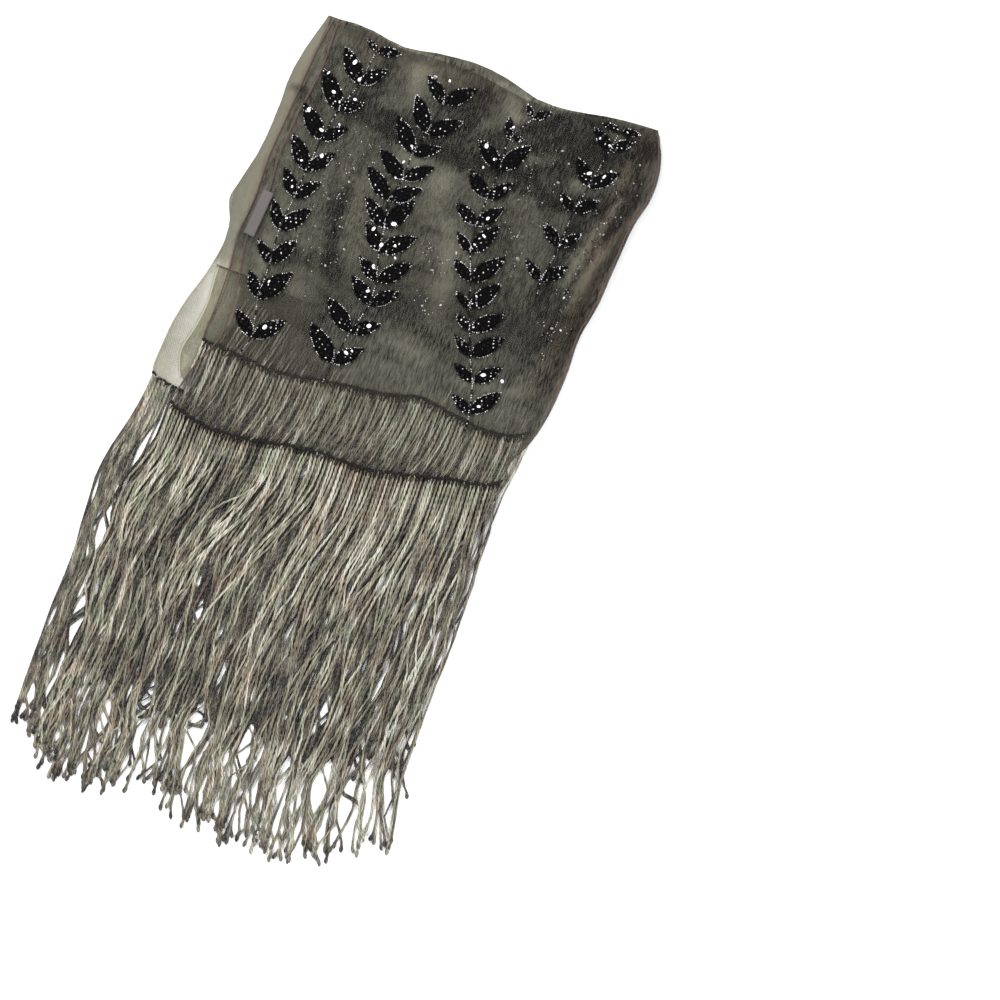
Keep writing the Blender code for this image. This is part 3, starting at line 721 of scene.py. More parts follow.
def nylon_tulle(name, looks, ply):
    """Soft nylon tulle, a warp-knitted net: matte, a little cloudy, and clear between its threads."""
    cover = ply["cover"]
    pale, deep, tight = (getattr(looks, ply["shade"] + kind) for kind in ("", "_deep", "_drawn"))
    made, tree, shader = new_material(
        name, Roughness=0.72, Specular_IOR_Level=0.15, Sheen_Weight=0.06, Sheen_Roughness=0.5
    )
    spot = add_node(tree, "TexCoord").outputs["Object"]
    # A real hole is about 1.1 mm wide, too fine to show, so the net is drawn a little coarser
    turned = add_node(tree, "Mapping", {
        "Vector": spot, "Rotation": (0, 0, math.radians(ply["threads"])),
        "Scale": (1 / looks.mesh_pitch,) * 3,
    })
    net = add_node(
        tree, "TexVoronoi", {"Vector": turned.outputs[0], "Scale": 1.0, "Randomness": 0.35},
        feature="DISTANCE_TO_EDGE", voronoi_dimensions="2D",
    )
    thread = add_node(tree, "MapRange", {
        "Value": net.outputs["Distance"], "From Min": 0.06, "From Max": 0.26,
        "To Min": looks.thread_cover * cover, "To Max": looks.hole_cover * cover,
    }, interpolation_type="SMOOTHSTEP")
    # Soft clouds 40 mm wide, where the net is drawn together a little
    clouds = add_node(tree, "TexNoise", {"Vector": spot, "Scale": 1 / 0.04, "Detail": 3.0, "Roughness": 0.6})
    thick = add_node(tree, "MapRange", {
        "Value": clouds.outputs["Fac"], "From Min": 0.3, "From Max": 0.7, "To Min": 0.75, "To Max": 1.25,
    })
    gather = add_node(tree, "Attribute", attribute_name="gather")
    hidden = add_node(
        tree, "Math", {0: thread.outputs[0], 1: thick.outputs[0], 2: gather.outputs["Fac"]},
        operation="MULTIPLY_ADD", use_clamp=True,
    )
    tree.links.new(hidden.outputs[0], shader.inputs["Alpha"])
    # Fuzz of the yarn, 1.2 mm across and 7 mm along the wrap
    combed = add_node(tree, "Mapping", {"Vector": spot, "Scale": (1 / 0.0012, 1 / 0.007, 1 / 0.007)})
    fuzz = add_node(tree, "TexNoise", {"Vector": combed.outputs[0], "Scale": 1.0, "Detail": 3.0})
    mixed = add_node(
        tree, "Mix", {0: clouds.outputs["Fac"], 6: tuple(deep), 7: tuple(pale)}, data_type="RGBA",
    )
    drawn = add_node(
        tree, "Mix", {0: gather.outputs["Fac"], 6: mixed.outputs[2], 7: tuple(tight)}, data_type="RGBA",
    )
    # Painted darkness dims the net: thick layers below and painted shade of folds and creases
    dark = add_node(tree, "Attribute", attribute_name="dark")
    lit = add_node(tree, "MapRange", {
        "Value": fuzz.outputs["Fac"], "From Min": 0.3, "From Max": 0.7, "To Min": 0.65, "To Max": 1.35,
    })
    dimmed = add_node(
        tree, "Math", {0: dark.outputs["Fac"], 1: -SHADE_DEPTH, 2: lit.outputs[0]}, operation="MULTIPLY_ADD",
        use_clamp=True,
    )
    shaded = add_node(
        tree, "Mix", {0: 1.0, 6: reddened(tree, drawn.outputs[2]), 7: dimmed.outputs[0]}, data_type="RGBA",
        blend_type="MULTIPLY",
    )
    surface(tree, shader, shaded.outputs[2], net.outputs["Distance"], 0.2, 0.0002)
    return made


def tulle_in_layers(name, looks):
    """Many plies of nylon tulle on each other: a matte, cloudy grey that hides what is below."""
    made, tree, shader = new_material(name, Roughness=0.85, Specular_IOR_Level=0.1)
    spot = add_node(tree, "TexCoord").outputs["Object"]
    dark = add_node(tree, "Attribute", attribute_name="dark")
    clouds = add_node(tree, "TexNoise", {"Vector": spot, "Scale": 1 / 0.03, "Detail": 4.0, "Roughness": 0.65})
    # Fibres 6 mm long that lie along the wrap
    drawn = add_node(tree, "Mapping", {"Vector": spot, "Scale": (1 / 0.0014, 1 / 0.006, 1 / 0.006)})
    fibres = add_node(tree, "TexNoise", {"Vector": drawn.outputs[0], "Scale": 1.0, "Detail": 3.0})
    uneven = add_node(tree, "Math", {0: clouds.outputs["Fac"], 1: 1.2, 2: -0.6}, operation="MULTIPLY_ADD")
    rough = add_node(tree, "Math", {0: fibres.outputs["Fac"], 1: 1.5, 2: -0.75}, operation="MULTIPLY_ADD")
    both = add_node(tree, "Math", {0: uneven.outputs[0], 1: rough.outputs[0]}, operation="ADD")
    smooth = add_node(tree, "Attribute", attribute_name="gather")
    left = add_node(tree, "Math", {0: 1.0, 1: smooth.outputs["Fac"]}, operation="SUBTRACT")
    # Painted darkness, with painted shade of folds and creases, mixes the layers toward near black
    total = add_node(
        tree, "Math", {0: both.outputs[0], 1: left.outputs[0], 2: dark.outputs["Fac"]},
        operation="MULTIPLY_ADD", use_clamp=True,
    )
    mixed = add_node(
        tree, "Mix", {0: total.outputs[0], 6: tuple(looks.layers_pale), 7: tuple(looks.layers_deep)},
        data_type="RGBA",
    )
    surface(tree, shader, reddened(tree, mixed.outputs[2]), fibres.outputs["Fac"], 0.4, 0.0004)
    return made


def rolled_nylon(name, shade):
    """Net rolled tight and overcast: a matte brown line with small ridges of thread."""
    made, tree, shader = new_material(name, Roughness=0.8)
    spot = add_node(tree, "TexCoord").outputs["Object"]
    # Overcast stitches about 1.6 mm apart
    ridges = add_node(
        tree, "TexNoise", {"Vector": spot, "Scale": 1 / 0.0016, "Detail": 2.0, "Roughness": 0.5},
    )
    pale = [min(1.0, 1.6 * value + 0.01) for value in shade[:3]] + [1.0]
    mixed = add_node(
        tree, "Mix", {0: ridges.outputs["Fac"], 6: tuple(shade), 7: tuple(pale)}, data_type="RGBA",
    )
    surface(tree, shader, mixed.outputs[2], ridges.outputs["Fac"], 0.6, 0.0004)
    return made


def rayon_cord(name, looks):
    """Two-ply twisted rayon cord: a soft silky gloss on slanting ridges, each cord of its own tone."""
    made, tree, shader = new_material(name, Roughness=0.42, Specular_IOR_Level=0.35, Sheen_Weight=0.08)
    tone = add_node(tree, "Attribute", attribute_name="tone")
    spot = add_node(tree, "UVMap", uv_map="strand")
    parts = add_node(tree, "SeparateXYZ", {0: spot.outputs[0]})
    # The strand's v is its length in metres, so the twist keeps its real pitch
    turn = add_node(
        tree, "Math", {0: parts.outputs["Y"], 1: 2 * math.pi / looks.twist}, operation="MULTIPLY",
    )
    around = add_node(tree, "Math", {0: parts.outputs["X"], 1: 4 * math.pi}, operation="MULTIPLY")
    phase = add_node(tree, "Math", {0: turn.outputs[0], 1: around.outputs[0]}, operation="ADD")
    ridge = add_node(tree, "Math", {0: phase.outputs[0]}, operation="SINE")
    # Painted shade in the grooves between the twist's plies
    ply = add_node(tree, "MapRange", {
        "Value": ridge.outputs[0], "From Min": -1.0, "From Max": 0.6, "To Min": 0.62, "To Max": 1.1,
    })
    place = add_node(tree, "TexCoord").outputs["Object"]
    clouds = add_node(tree, "TexNoise", {"Vector": place, "Scale": 1 / 0.018, "Detail": 3.0})
    # Painted light and shade as the cords dip in and out of the light over about 20 mm of their length
    long = add_node(tree, "Mapping", {"Vector": place, "Scale": (1 / 0.0035, 1 / 0.02, 1 / 0.02)})
    dips = add_node(tree, "TexNoise", {"Vector": long.outputs[0], "Scale": 1.0, "Detail": 2.0})
    shifted = add_node(
        tree, "Math", {0: dips.outputs["Fac"], 1: 1.5, 2: -0.78}, operation="MULTIPLY_ADD",
    )
    toned = add_node(
        tree, "Math", {0: shifted.outputs[0], 1: tone.outputs["Fac"]}, operation="ADD", use_clamp=True,
    )
    shades = add_node(
        tree, "ValToRGB", {0: toned.outputs[0]},
        stops=(
            (0.0, tuple(looks.gap)), (1.0, tuple(looks.pale)), (0.35, tuple(looks.dim)),
            (0.65, tuple(looks.plain)),
        ),
    )
    warm = add_node(
        tree, "ValToRGB", {0: clouds.outputs["Fac"]},
        stops=((0.3, linear("#DDE6D8")), (0.7, linear("#F2E2DA")), (0.5, linear("#FFFFFF"))),
    )
    tinted = add_node(
        tree, "Mix", {0: 1.0, 6: shades.outputs[0], 7: warm.outputs[0]}, data_type="RGBA",
        blend_type="MULTIPLY",
    )
    twisted = add_node(
        tree, "Mix", {0: 1.0, 6: tinted.outputs[2], 7: ply.outputs[0]}, data_type="RGBA",
        blend_type="MULTIPLY",
    )
    surface(tree, shader, twisted.outputs[2], ridge.outputs[0], 0.8, 0.0003)
    return made


def knot_thread(name, deep, pale, gleam):
    """Dull black sewing thread, wound or sewn close."""
    made, tree, shader = new_material(name, Roughness=0.75, Specular_IOR_Level=gleam)
    spot = add_node(tree, "TexCoord").outputs["Object"]
    # Windings of thread 0.5 mm thick, drawn at 0.8 mm
    wound = add_node(tree, "TexNoise", {"Vector": spot, "Scale": 1 / 0.0008, "Detail": 1.0})
    mixed = add_node(
        tree, "Mix", {0: wound.outputs["Fac"], 6: tuple(deep), 7: tuple(pale)}, data_type="RGBA",
    )
    surface(tree, shader, mixed.outputs[2], wound.outputs["Fac"], 0.6, 0.0003)
    return made


def glossy(name, shade, metallic, roughness, uneven, gleam):
    """Cut glass, lined glass or foil: a hard gloss that changes a little from piece to piece."""
    made, tree, shader = new_material(name, Metallic=metallic, Specular_IOR_Level=gleam)
    spot = add_node(tree, "TexCoord").outputs["Object"]
    # A change every 2 mm, from one bead to the next
    patch = add_node(tree, "TexNoise", {"Vector": spot, "Scale": 1 / 0.002, "Detail": 1.0})
    dark = [value * uneven for value in shade[:3]] + [1.0]
    either = add_node(tree, "MapRange", {"Value": patch.outputs["Fac"], "From Min": 0.36, "From Max": 0.62})
    mixed = add_node(
        tree, "Mix", {0: either.outputs[0], 6: tuple(dark), 7: tuple(shade)}, data_type="RGBA",
    )
    surface(tree, shader, mixed.outputs[2])
    gloss = add_node(tree, "MapRange", {
        "Value": patch.outputs["Fac"], "From Min": 0.3, "From Max": 0.7,
        "To Min": roughness * 0.6, "To Max": roughness * 1.6,
    })
    tree.links.new(gloss.outputs[0], shader.inputs["Roughness"])
    return made


def woven_ribbon(name):
    """Grey satin ribbon, woven: fine ribs across it and a faint gloss."""
    made, tree, shader = new_material(name, Roughness=0.6, Sheen_Weight=0.1)
    spot = add_node(tree, "TexCoord").outputs["Object"]
    # Weft ribs are 0.25 mm apart, drawn at 1 mm
    ribs = add_node(
        tree, "TexWave", {"Vector": spot, "Scale": math.tau / 0.001 / 20, "Distortion": 0.6, "Detail": 1.0},
        bands_direction="Y",
    )
    mixed = add_node(
        tree, "Mix", {0: ribs.outputs["Fac"], 6: linear("#3D3836"), 7: linear("#544E4B")}, data_type="RGBA",
    )
    surface(tree, shader, mixed.outputs[2], ribs.outputs["Fac"], 0.3, 0.0002)
    return made


def add_piece(name, mesh, materials, slot=None, node=None):
    """A finished mesh as a named piece, which rides on the wrap when it is given a slot."""
    for material in materials:
        mesh.materials.append(material)
    mesh.shade_smooth()
    item = bpy.data.objects.new(name, mesh)
    bpy.context.scene.collection.objects.link(item)
    if slot:
        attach(item, BODY)
    if node:
        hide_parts(node)
    return item


def mesh_of(shape, name):
    """The finished mesh of a shape, which is freed."""
    mesh = bpy.data.meshes.new(name)
    shape.to_mesh(mesh)
    shape.free()
    return mesh


def points_of(mesh):
    """A mesh's points, a row for each, in metres."""
    points = np.empty(len(mesh.vertices) * 3, np.float32)
    mesh.vertices.foreach_get("co", points)
    return points.reshape(-1, 3)


def move_points(mesh, places):
    """Moves a mesh's points to places in millimetres."""
    mesh.vertices.foreach_set("co", (places * MM).astype(np.float32).ravel())
    mesh.update()


def runs_along(line):
    """How far each point of a line is from its first, along the line."""
    return np.concatenate([[0], np.cumsum(np.hypot(*np.diff(line, axis=0).T))])


def repeated(name, pattern, count):
    """One mesh that joins count copies of a small shape, from an array whose copies lie on each other."""
    item = bpy.data.objects.new(name, mesh_of(pattern, name))
    bpy.context.scene.collection.objects.link(item)
    row = item.modifiers.new("Copies", "ARRAY")
    row.count = count
    row.use_relative_offset = False
    row.use_merge_vertices = False
    joined = bpy.data.meshes.new_from_object(item.evaluated_get(bpy.context.evaluated_depsgraph_get()))
    bpy.data.objects.remove(item)
    return joined


def scattered(name, pattern, places, sizes, turns):
    """Copies of a small shape, each at its place in millimetres, with its own half sizes and turns."""
    mesh = repeated(name, pattern, len(places))
    points = points_of(mesh).reshape(len(places), -1, 3) * np.asarray(sizes)[:, None, :]
    for axis, (a, b) in enumerate(((1, 2), (2, 0), (0, 1))):
        angle = np.asarray(turns)[:, axis, None]
        first, second = points[:, :, a].copy(), points[:, :, b].copy()
        points[:, :, a] = np.cos(angle) * first - np.sin(angle) * second
        points[:, :, b] = np.sin(angle) * first + np.cos(angle) * second
    move_points(mesh, points + np.asarray(places)[:, None, :])
    return mesh


def paint(mesh, name, values):
    """A number for each point of the mesh."""
    mesh.attributes.new(name, "FLOAT", "POINT").data.foreach_set("value", np.asarray(values, np.float32))


def strokes(x, y, table, amount):
    """The sum of a table's soft strokes at places in millimetres, each as strong as its row says."""
    total = np.zeros_like(x)
    for row in table:
        run_x, run_y = row["x1"] - row["x0"], row["y1"] - row["y0"]
        length = math.hypot(run_x, run_y)
        along = ((x - row["x0"]) * run_x + (y - row["y0"]) * run_y) / length**2
        reach = np.clip(along, 0, 1)
        aside = (run_x * (y - row["y0"]) - run_y * (x - row["x0"])) / length
        aside = aside - row["bow"] * 4 * reach * (1 - reach)
        far = np.hypot(aside, (along - reach) * length) / row["wide"]
        fade = 1.0 if amount != "rise" else ease(reach / 0.3) * ease((1 - reach) / 0.3)
        total += row[amount] * fade * np.exp(-far**2)
    return total


def thickness_and_shade(x, y):
    """How dark the cloth looks at places in millimetres, 0 to 1, with painted shade of creases and folds."""
    dark = BASE_DARK + strokes(x, y, SHADES, "dark") - CREASE_SHADE * strokes(x, y, CREASES, "rise")
    return np.clip(dark, 0, 1)


def paint_cloth(mesh, shaded=True, gathers=()):
    """Paints on a sheet's points how dark and how red the cloth looks and how much it is drawn together."""
    x, y = points_of(mesh)[:, :2].T / MM
    if shaded:
        paint(mesh, "dark", thickness_and_shade(x, y))
        paint(mesh, "warm", np.clip(strokes(x, y, REDDENED, "warm"), 0, 1))
    if gathers:
        paint(mesh, "gather", np.clip(strokes(x, y, gathers, "hide"), 0, MOST_HIDDEN))


def rumple(verts):
    """Moves points by the finer creases and a soft unevenness."""
    spots = np.array([vert.co for vert in verts]) / MM
    rise = strokes(spots[:, 0], spots[:, 1], CREASES, "rise")
    noise.seed_set(RUMPLE["seed"])
    for vert, more in zip(verts, rise):
        place = vert.co / MM / RUMPLE["wave"]
        uneven = noise.noise_vector(place)
        vert.co += Vector((uneven.x * RUMPLE["aside"], uneven.y * RUMPLE["aside"], 0)) * MM
        vert.co.z += (more + uneven.z * RUMPLE["high"]) * MM


def upper_side(node):
    """A merged copy of the upper side of a ply's wall, in four-sided faces."""
    cloth = bmesh.new()
    cloth.from_mesh(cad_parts[node].data)
    bmesh.ops.remove_doubles(cloth, verts=cloth.verts[:], dist=WELD)
    cloth.normal_update()
    under = [face for face in cloth.faces if face.normal.z < UPPER_SIDE]
    bmesh.ops.delete(cloth, geom=under, context="FACES")
    bmesh.ops.join_triangles(
        cloth, faces=cloth.faces[:], angle_face_threshold=math.pi, angle_shape_threshold=math.pi
    )
    return cloth


def round_outline(cloth):
    """Softens the corners between the straight runs of a sheet's outline."""
    for _ in range(OUTLINE_ROUNDS):
        moved = {}
        for vert in cloth.verts:
            ends = [edge.other_vert(vert).co for edge in vert.link_edges if edge.is_boundary]
            if len(ends) == 2:
                moved[vert] = vert.co.lerp((ends[0] + ends[1]) / 2, 0.5)
        for vert, spot in moved.items():
            vert.co = spot


def free_edges(cloth, way):
    """The outline's edges whose open side looks a way in the plane."""
    found = []
    for edge in cloth.edges:
        if not edge.is_boundary:
            continue
        run = edge.verts[1].co - edge.verts[0].co
        out = Vector((run.y, -run.x)).normalized()
        middle = (edge.verts[0].co + edge.verts[1].co) / 2
        if out.dot((middle - edge.link_faces[0].calc_center_median()).xy) < 0:
            out.negate()
        if out.dot(Vector(way)) > 0.7:
            found.append(edge)
    return found


def line_along(edges, axis):
    """The points of a run of edges, in order along an axis, in millimetres."""
    points = np.array([vert.co[:] for vert in {vert for edge in edges for vert in edge.verts}]) / MM
    return points[np.argsort(points[:, axis])]


def turn_down(cloth, edges, low):
    """Turns the cloth round its lengthwise fold, from a run of edges out, down and back under."""
    start = {vert: vert.co.copy() for edge in edges for vert in edge.verts}
    source = {vert: vert for vert in start}
    for step in range(1, TURN_STEPS + 1):
        ring = bmesh.ops.extrude_edge_only(cloth, edges=edges)["geom"]
        edges = [item for item in ring if isinstance(item, bmesh.types.BMEdge)]
        angle = math.pi * step / TURN_STEPS
        fresh = {}
        for vert in (item for item in ring if isinstance(item, bmesh.types.BMVert)):
            origin = next(source[o] for e in vert.link_edges if (o := e.other_vert(vert)) in source)
            top = start[origin]
            vert.co.x = top.x + TURN_OUT * MM * math.sin(angle) * min(1.0, top.z / MM / LEAST_TURN_HIGH)
            vert.co.z = top.z + (low * MM - top.z) * (1 - math.cos(angle)) / 2
            fresh[vert] = origin
        source = fresh


def lay_ply(name, looks):
    """One ply of net on its wall's form, with the finer creases where it is a front ply, as a thin shell."""
    ply = PLIES[name]
    cloth = upper_side(ply["node"])
    bmesh.ops.subdivide_edges(cloth, edges=cloth.edges[:], cuts=PLY_CUTS, use_grid_fill=True)
    for _ in range(SMOOTH_ROUNDS):
        bmesh.ops.smooth_vert(cloth, verts=cloth.verts[:], factor=0.5, use_axis_z=True)
    round_outline(cloth)
    bmesh.ops.translate(cloth, verts=cloth.verts[:], vec=(0, 0, -ply["fall"] * MM))
    if ply["fall"] == 0:
        rumple(cloth.verts[:])
    sides = dict(left=((-1, 0), 1), right=((1, 0), 1), fold=((0, 1), 0), hem=((0, -1), 0))
    runs = {side: free_edges(cloth, way) for side, (way, _) in sides.items()}
    laid[name] = {side: line_along(runs[side], axis) for side, (_, axis) in sides.items()}
    if name == "outer_front":
        turn_down(cloth, runs["right"], TURN_LOW)
    bmesh.ops.recalc_face_normals(cloth, faces=cloth.faces[:])
    if sum(face.normal.z for face in cloth.faces) < 0:
        bmesh.ops.reverse_faces(cloth, faces=cloth.faces[:])
    laid[name]["tree"] = BVHTree.FromBMesh(cloth)
    piece = add_piece(
        name + "_tulle", mesh_of(cloth, name), [nylon_tulle("tulle_" + name, looks, ply)], "tulle",
        ply["node"],
    )
    paint_cloth(piece.data, ply["fall"] == 0, GATHERS[name])
    shell = piece.modifiers.new("Shell", "SOLIDIFY")
    shell.thickness = looks.thickness
    shell.offset = -1.0
    return piece


def height_on(name, x, y):
    """Height of a laid ply at a place, in millimetres."""
    tree = laid[name]["tree"]
    hit = tree.ray_cast(Vector((x * MM, y * MM, 1.0)), Vector((0, 0, -1)))[0]
    if hit is None:
        hit = tree.find_nearest(Vector((x * MM, y * MM, 0.02)))[0]
    return hit.z / MM


class WRAP_OT_stage(bpy.types.Operator):
    """Lays the pale floor, hangs the soft lights and sets the camera"""

    bl_idname = "wrap.stage"
    bl_label = "Set the stage"

    def execute(self, context):
        looks = context.scene.wrap_looks.stage
        context.scene.view_settings.view_transform = "Standard"

        camera = bpy.data.objects.new("camera", bpy.data.cameras.new("camera"))
        camera.data.sensor_fit = "HORIZONTAL"
        camera.data.sensor_width = SENSOR
        camera.data.lens = SENSOR * VIEW_HIGH / VIEW_WIDE
        camera.location = (*VIEW_CENTRE, VIEW_HIGH)
        camera.rotation_euler = (0, 0, VIEW_TURN)
        context.scene.collection.objects.link(camera)
        context.scene.camera = camera

        # Matt painted board: even and pale, with the faintest mottle
        made, tree, shader = new_material("matt_board", Roughness=0.9)
        spot = add_node(tree, "TexCoord").outputs["Object"]
        mottle = add_node(tree, "TexNoise", {"Vector": spot, "Scale": 1 / 0.05, "Detail": 2.0})
        mixed = add_node(
            tree, "Mix", {0: mottle.outputs["Fac"], 6: tuple(looks.floor), 7: linear("#FDFDFC")},
            data_type="RGBA",
        )
        surface(tree, shader, mixed.outputs[2])
        board = bmesh.new()
        bmesh.ops.create_grid(board, x_segments=1, y_segments=1, size=FLOOR_HALF)
        floor = add_piece("floor", mesh_of(board, "floor"), [made])

        world = bpy.data.worlds.new("surroundings")
        world.use_nodes = True
        world.node_tree.nodes["Background"].inputs["Color"].default_value = linear("#F4F6FA")
        world.node_tree.nodes["Background"].inputs["Strength"].default_value = looks.sky
        context.scene.world = world
        for name, row in LAMPS.items():
            lamp = bpy.data.objects.new(name, bpy.data.lights.new(name, "AREA"))
            lamp.data.size = row["size"]
            lamp.data.energy = getattr(looks, name)
            lamp.location = row["place"]
            lamp.rotation_euler = (-Vector(row["place"])).to_track_quat("-Z", "Y").to_euler()
            context.scene.collection.objects.link(lamp)
        return {"FINISHED"}


class WRAP_OT_layers(bpy.types.Operator):
    """Fills the bundle with the layers of cloth that lie within it"""

    bl_idname = "wrap.layers"
    bl_label = "Fold the inner layers"

    def execute(self, context):
        looks = context.scene.wrap_looks.cloth
        stack = bmesh.new()
        stack.from_mesh(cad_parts["folded_core"].data)
        bmesh.ops.remove_doubles(stack, verts=stack.verts[:], dist=WELD)
        bmesh.ops.join_triangles(
            stack, faces=stack.faces[:], angle_face_threshold=math.radians(40),
            angle_shape_threshold=math.pi,
        )
        bmesh.ops.subdivide_edges(stack, edges=stack.edges[:], cuts=LAYER_CUTS, use_grid_fill=True)
        base = min(vert.co.z for vert in stack.verts) + LAYER_FOOT * MM
        raised = [vert for vert in stack.verts if vert.co.z > base]
        for _ in range(SMOOTH_ROUNDS // 2):
            bmesh.ops.smooth_vert(stack, verts=raised, factor=LAYER_SMOOTH, use_axis_z=True)
        rumple(raised)
        laid["layers"] = dict(tree=BVHTree.FromBMesh(stack))
        piece = add_piece(
            "folded_layers", mesh_of(stack, "folded_layers"), [tulle_in_layers("tulle_in_layers", looks)],
            "tulle", "folded_core",
        )
        paint_cloth(piece.data, gathers=GATHERS["layers"])
        return {"FINISHED"}


class WRAP_OT_plies(bpy.types.Operator):
    """Lays the four plies of net that show"""

    bl_idname = "wrap.plies"
    bl_label = "Lay the plies"

    def execute(self, context):
        looks = context.scene.wrap_looks.cloth
        for name in PLIES:
            lay_ply(name, looks)
        return {"FINISHED"}


class WRAP_OT_edges(bpy.types.Operator):
    """Rolls the long edges of the plies"""

    bl_idname = "wrap.edges"
    bl_label = "Roll the edges"

    def execute(self, context):
        looks = context.scene.wrap_looks.cloth
        rolls = dict(
            outer_front=("left", "right"), inner_front=("left",), inner_back=("left",), outer_back=("left",)
        )
        for name, sides in rolls.items():
            curve = bpy.data.curves.new(name + "_roll", "CURVE")
            curve.dimensions = "3D"
            curve.bevel_depth = looks.roll / 2
            curve.bevel_resolution = 2
            curve.use_fill_caps = True
            for side in sides:
                line = laid[name][side] * MM
                spline = curve.splines.new("POLY")
                spline.points.add(len(line) - 1)
                for i, (point, spot) in enumerate(zip(spline.points, line)):
                    point.co = (*spot[:2], spot[2] - looks.thickness / 2, 1.0)
                    point.radius = 1.0 + 0.25 * noise.noise(Vector((i * 0.35, 0.0, 0.0)))
            guide = bpy.data.objects.new(name + "_roll", curve)
            bpy.context.scene.collection.objects.link(guide)
            ready = guide.evaluated_get(bpy.context.evaluated_depsgraph_get())
            mesh = bpy.data.meshes.new_from_object(ready)
            bpy.data.objects.remove(guide)
            mesh.materials.clear()
            shade = looks.edge_back if name.endswith("back") else looks.edge
            add_piece(name + "_rolled_edge", mesh, [rolled_nylon("rolled_" + name, shade)], "tulle")
        return {"FINISHED"}


def strand_pattern(downs):
    """One straight strand of unit radius, with a ring for each step down and u, v along it."""
    pattern = bmesh.new()
    bmesh.ops.create_cone(
        pattern, cap_ends=True, segments=STRAND_SIDES, radius1=1.0, radius2=1.0, depth=1.0
    )
    upright = [edge for edge in pattern.edges if abs(edge.verts[0].co.z - edge.verts[1].co.z) > 0.5]
    bmesh.ops.subdivide_edges(pattern, edges=upright, cuts=len(downs) - 2)
    uv = pattern.loops.layers.uv.new("strand")
    for face in pattern.faces:
        angles = [math.atan2(loop.vert.co.y, loop.vert.co.x) / math.tau % 1 for loop in face.loops]
        wraps = max(angles) - min(angles) > 0.5
        for loop, angle in zip(face.loops, angles):
            ring = round((loop.vert.co.z + 0.5) * (len(downs) - 1))
            loop[uv].uv = (angle + (1 if wraps and angle < 0.5 else 0), downs[ring])
    return pattern


def lock_edges(rng):
    """Shares of the fringe's width where one lock ends and the next begins."""
    widths = rng.uniform(*LOCK_WIDE, LOCKS)
    return np.concatenate([[0.0], np.cumsum(widths) / widths.sum()])


def sway(rng, down, count):
    """How far the strands stray, wave and curl sideways at each step down."""
    loose = rng.normal(0, SIDE_STRAY, count)
    loose[rng.random(count) < WILD["share"]] *= WILD["more"]
    aside = loose[:, None] * down**0.9
    for waves, size in SIDE_WAVES:
        phase = rng.uniform(0, math.tau, count)[:, None]
        aside += size * ease(down / 0.2) * np.sin(math.tau * waves * down + phase)
    curl = rng.normal(0, CURL["size"], count)
    curl = curl * np.where(rng.random(count) < CURL["share"], CURL["more"], 1.0)
    phase = rng.uniform(0, math.tau, count)[:, None]
    curled = ease((down - CURL["start"]) / (1 - CURL["start"]))
    return aside + curl[:, None] * curled * np.sin(math.tau * CURL["turns"] * down + phase)


def strand_paths(fringe, hem, spread, tips, downs, locks):
    """Middles of the strands, one row of points each, and their tones."""
    rng = np.random.default_rng(fringe["seed"])
    count = fringe["strands"]
    share = ((np.arange(count) + 0.5 + rng.uniform(-0.4, 0.4, count)) / count) ** fringe["crowd"]
    across = fringe["first"] + (fringe["last"] - fringe["first"]) * share
    root_x = hem[0, 0] + (hem[-1, 0] - hem[0, 0]) * share
    root_x += 0.7 * (np.round(root_x / KNOT_STEP) * KNOT_STEP - root_x)
    root_y = np.interp(root_x, hem[:, 0], hem[:, 1])
    root_z = np.interp(root_x, hem[:, 0], hem[:, 2])
    lock = np.clip(np.searchsorted(locks["edges"], across) - 1, 0, LOCKS - 1)
    centre = (locks["edges"][lock] + locks["edges"][lock + 1]) / 2
    down = downs[None, :]

    tip = column(tips, "across", across, "tip") + locks["longer"][lock] + rng.normal(0, TIP_STRAY, count)
    drawn_up = (rng.random(count) < fringe["drawn_up"]) & (across > DRAWN_UP["past"])
    tip += drawn_up * rng.uniform(DRAWN_UP["least"], DRAWN_UP["most"], count)
    length = root_y - tip
    gather = locks["pull"][lock][:, None] * ease((down - LOCK_START) / (1 - LOCK_START))
    spots = across[:, None] + (centre - across)[:, None] * gather
    spots = spots - LEAN * np.sin(math.pi * np.clip(spots, 0, 1)) * ease(down / 0.5)
    left, right = (column(spread, "down", down, side) for side in ("left", "right"))
    x = left + (right - left) * spots + locks["lean"][lock][:, None] * down**2
    x += sway(rng, down, count)
    height = np.interp(down, np.linspace(0, 1, 6), fringe["heights"]) + np.zeros((count, 1))
    bob = rng.uniform(0, math.tau, (2, count))[:, :, None]
    height += sum(
        size * np.sin(math.tau * waves * down + start) for (waves, size), start in zip(RISE_WAVES, bob)
    )
    for row in SWEEPS if fringe is FRINGES["outer_front"] else ():
        swept = ((share >= row["first"]) & (share <= row["last"]))[:, None]
        moved = ease((down - row["start"]) / (row["end"] - row["start"]))
        x += swept * row["aside"] * moved
        height += swept * SWEPT_LIFT * ease(down / 0.1) * (1 - ease((down - 0.8) / 0.2))
    x = np.clip(x, left - PAST_SPREAD, right + PAST_SPREAD)
    x = root_x[:, None] + (x - root_x[:, None]) * (1 - (1 - np.clip(down / 0.45, 0, 1))**2)
    y = root_y[:, None] - length[:, None] * down
    for row in PARTINGS:
        beside = x - row["x"]
        near = np.exp(-((y - row["y"]) / row["long"])**2 - np.abs(beside) / (4 * row["wide"]))
        x += np.where(beside < 0, -1, 1) * row["wide"] * near
    height = root_z[:, None] + (height - root_z[:, None]) * ease(down / 0.06)
    height = np.maximum(height, LOWEST)
    tone = fringe["tone"] + rng.normal(0, TONE_STRAY, count) + locks["tone"][lock]
    return np.stack([x, y, height], axis=2), np.clip(tone, 0.02, 0.98), length


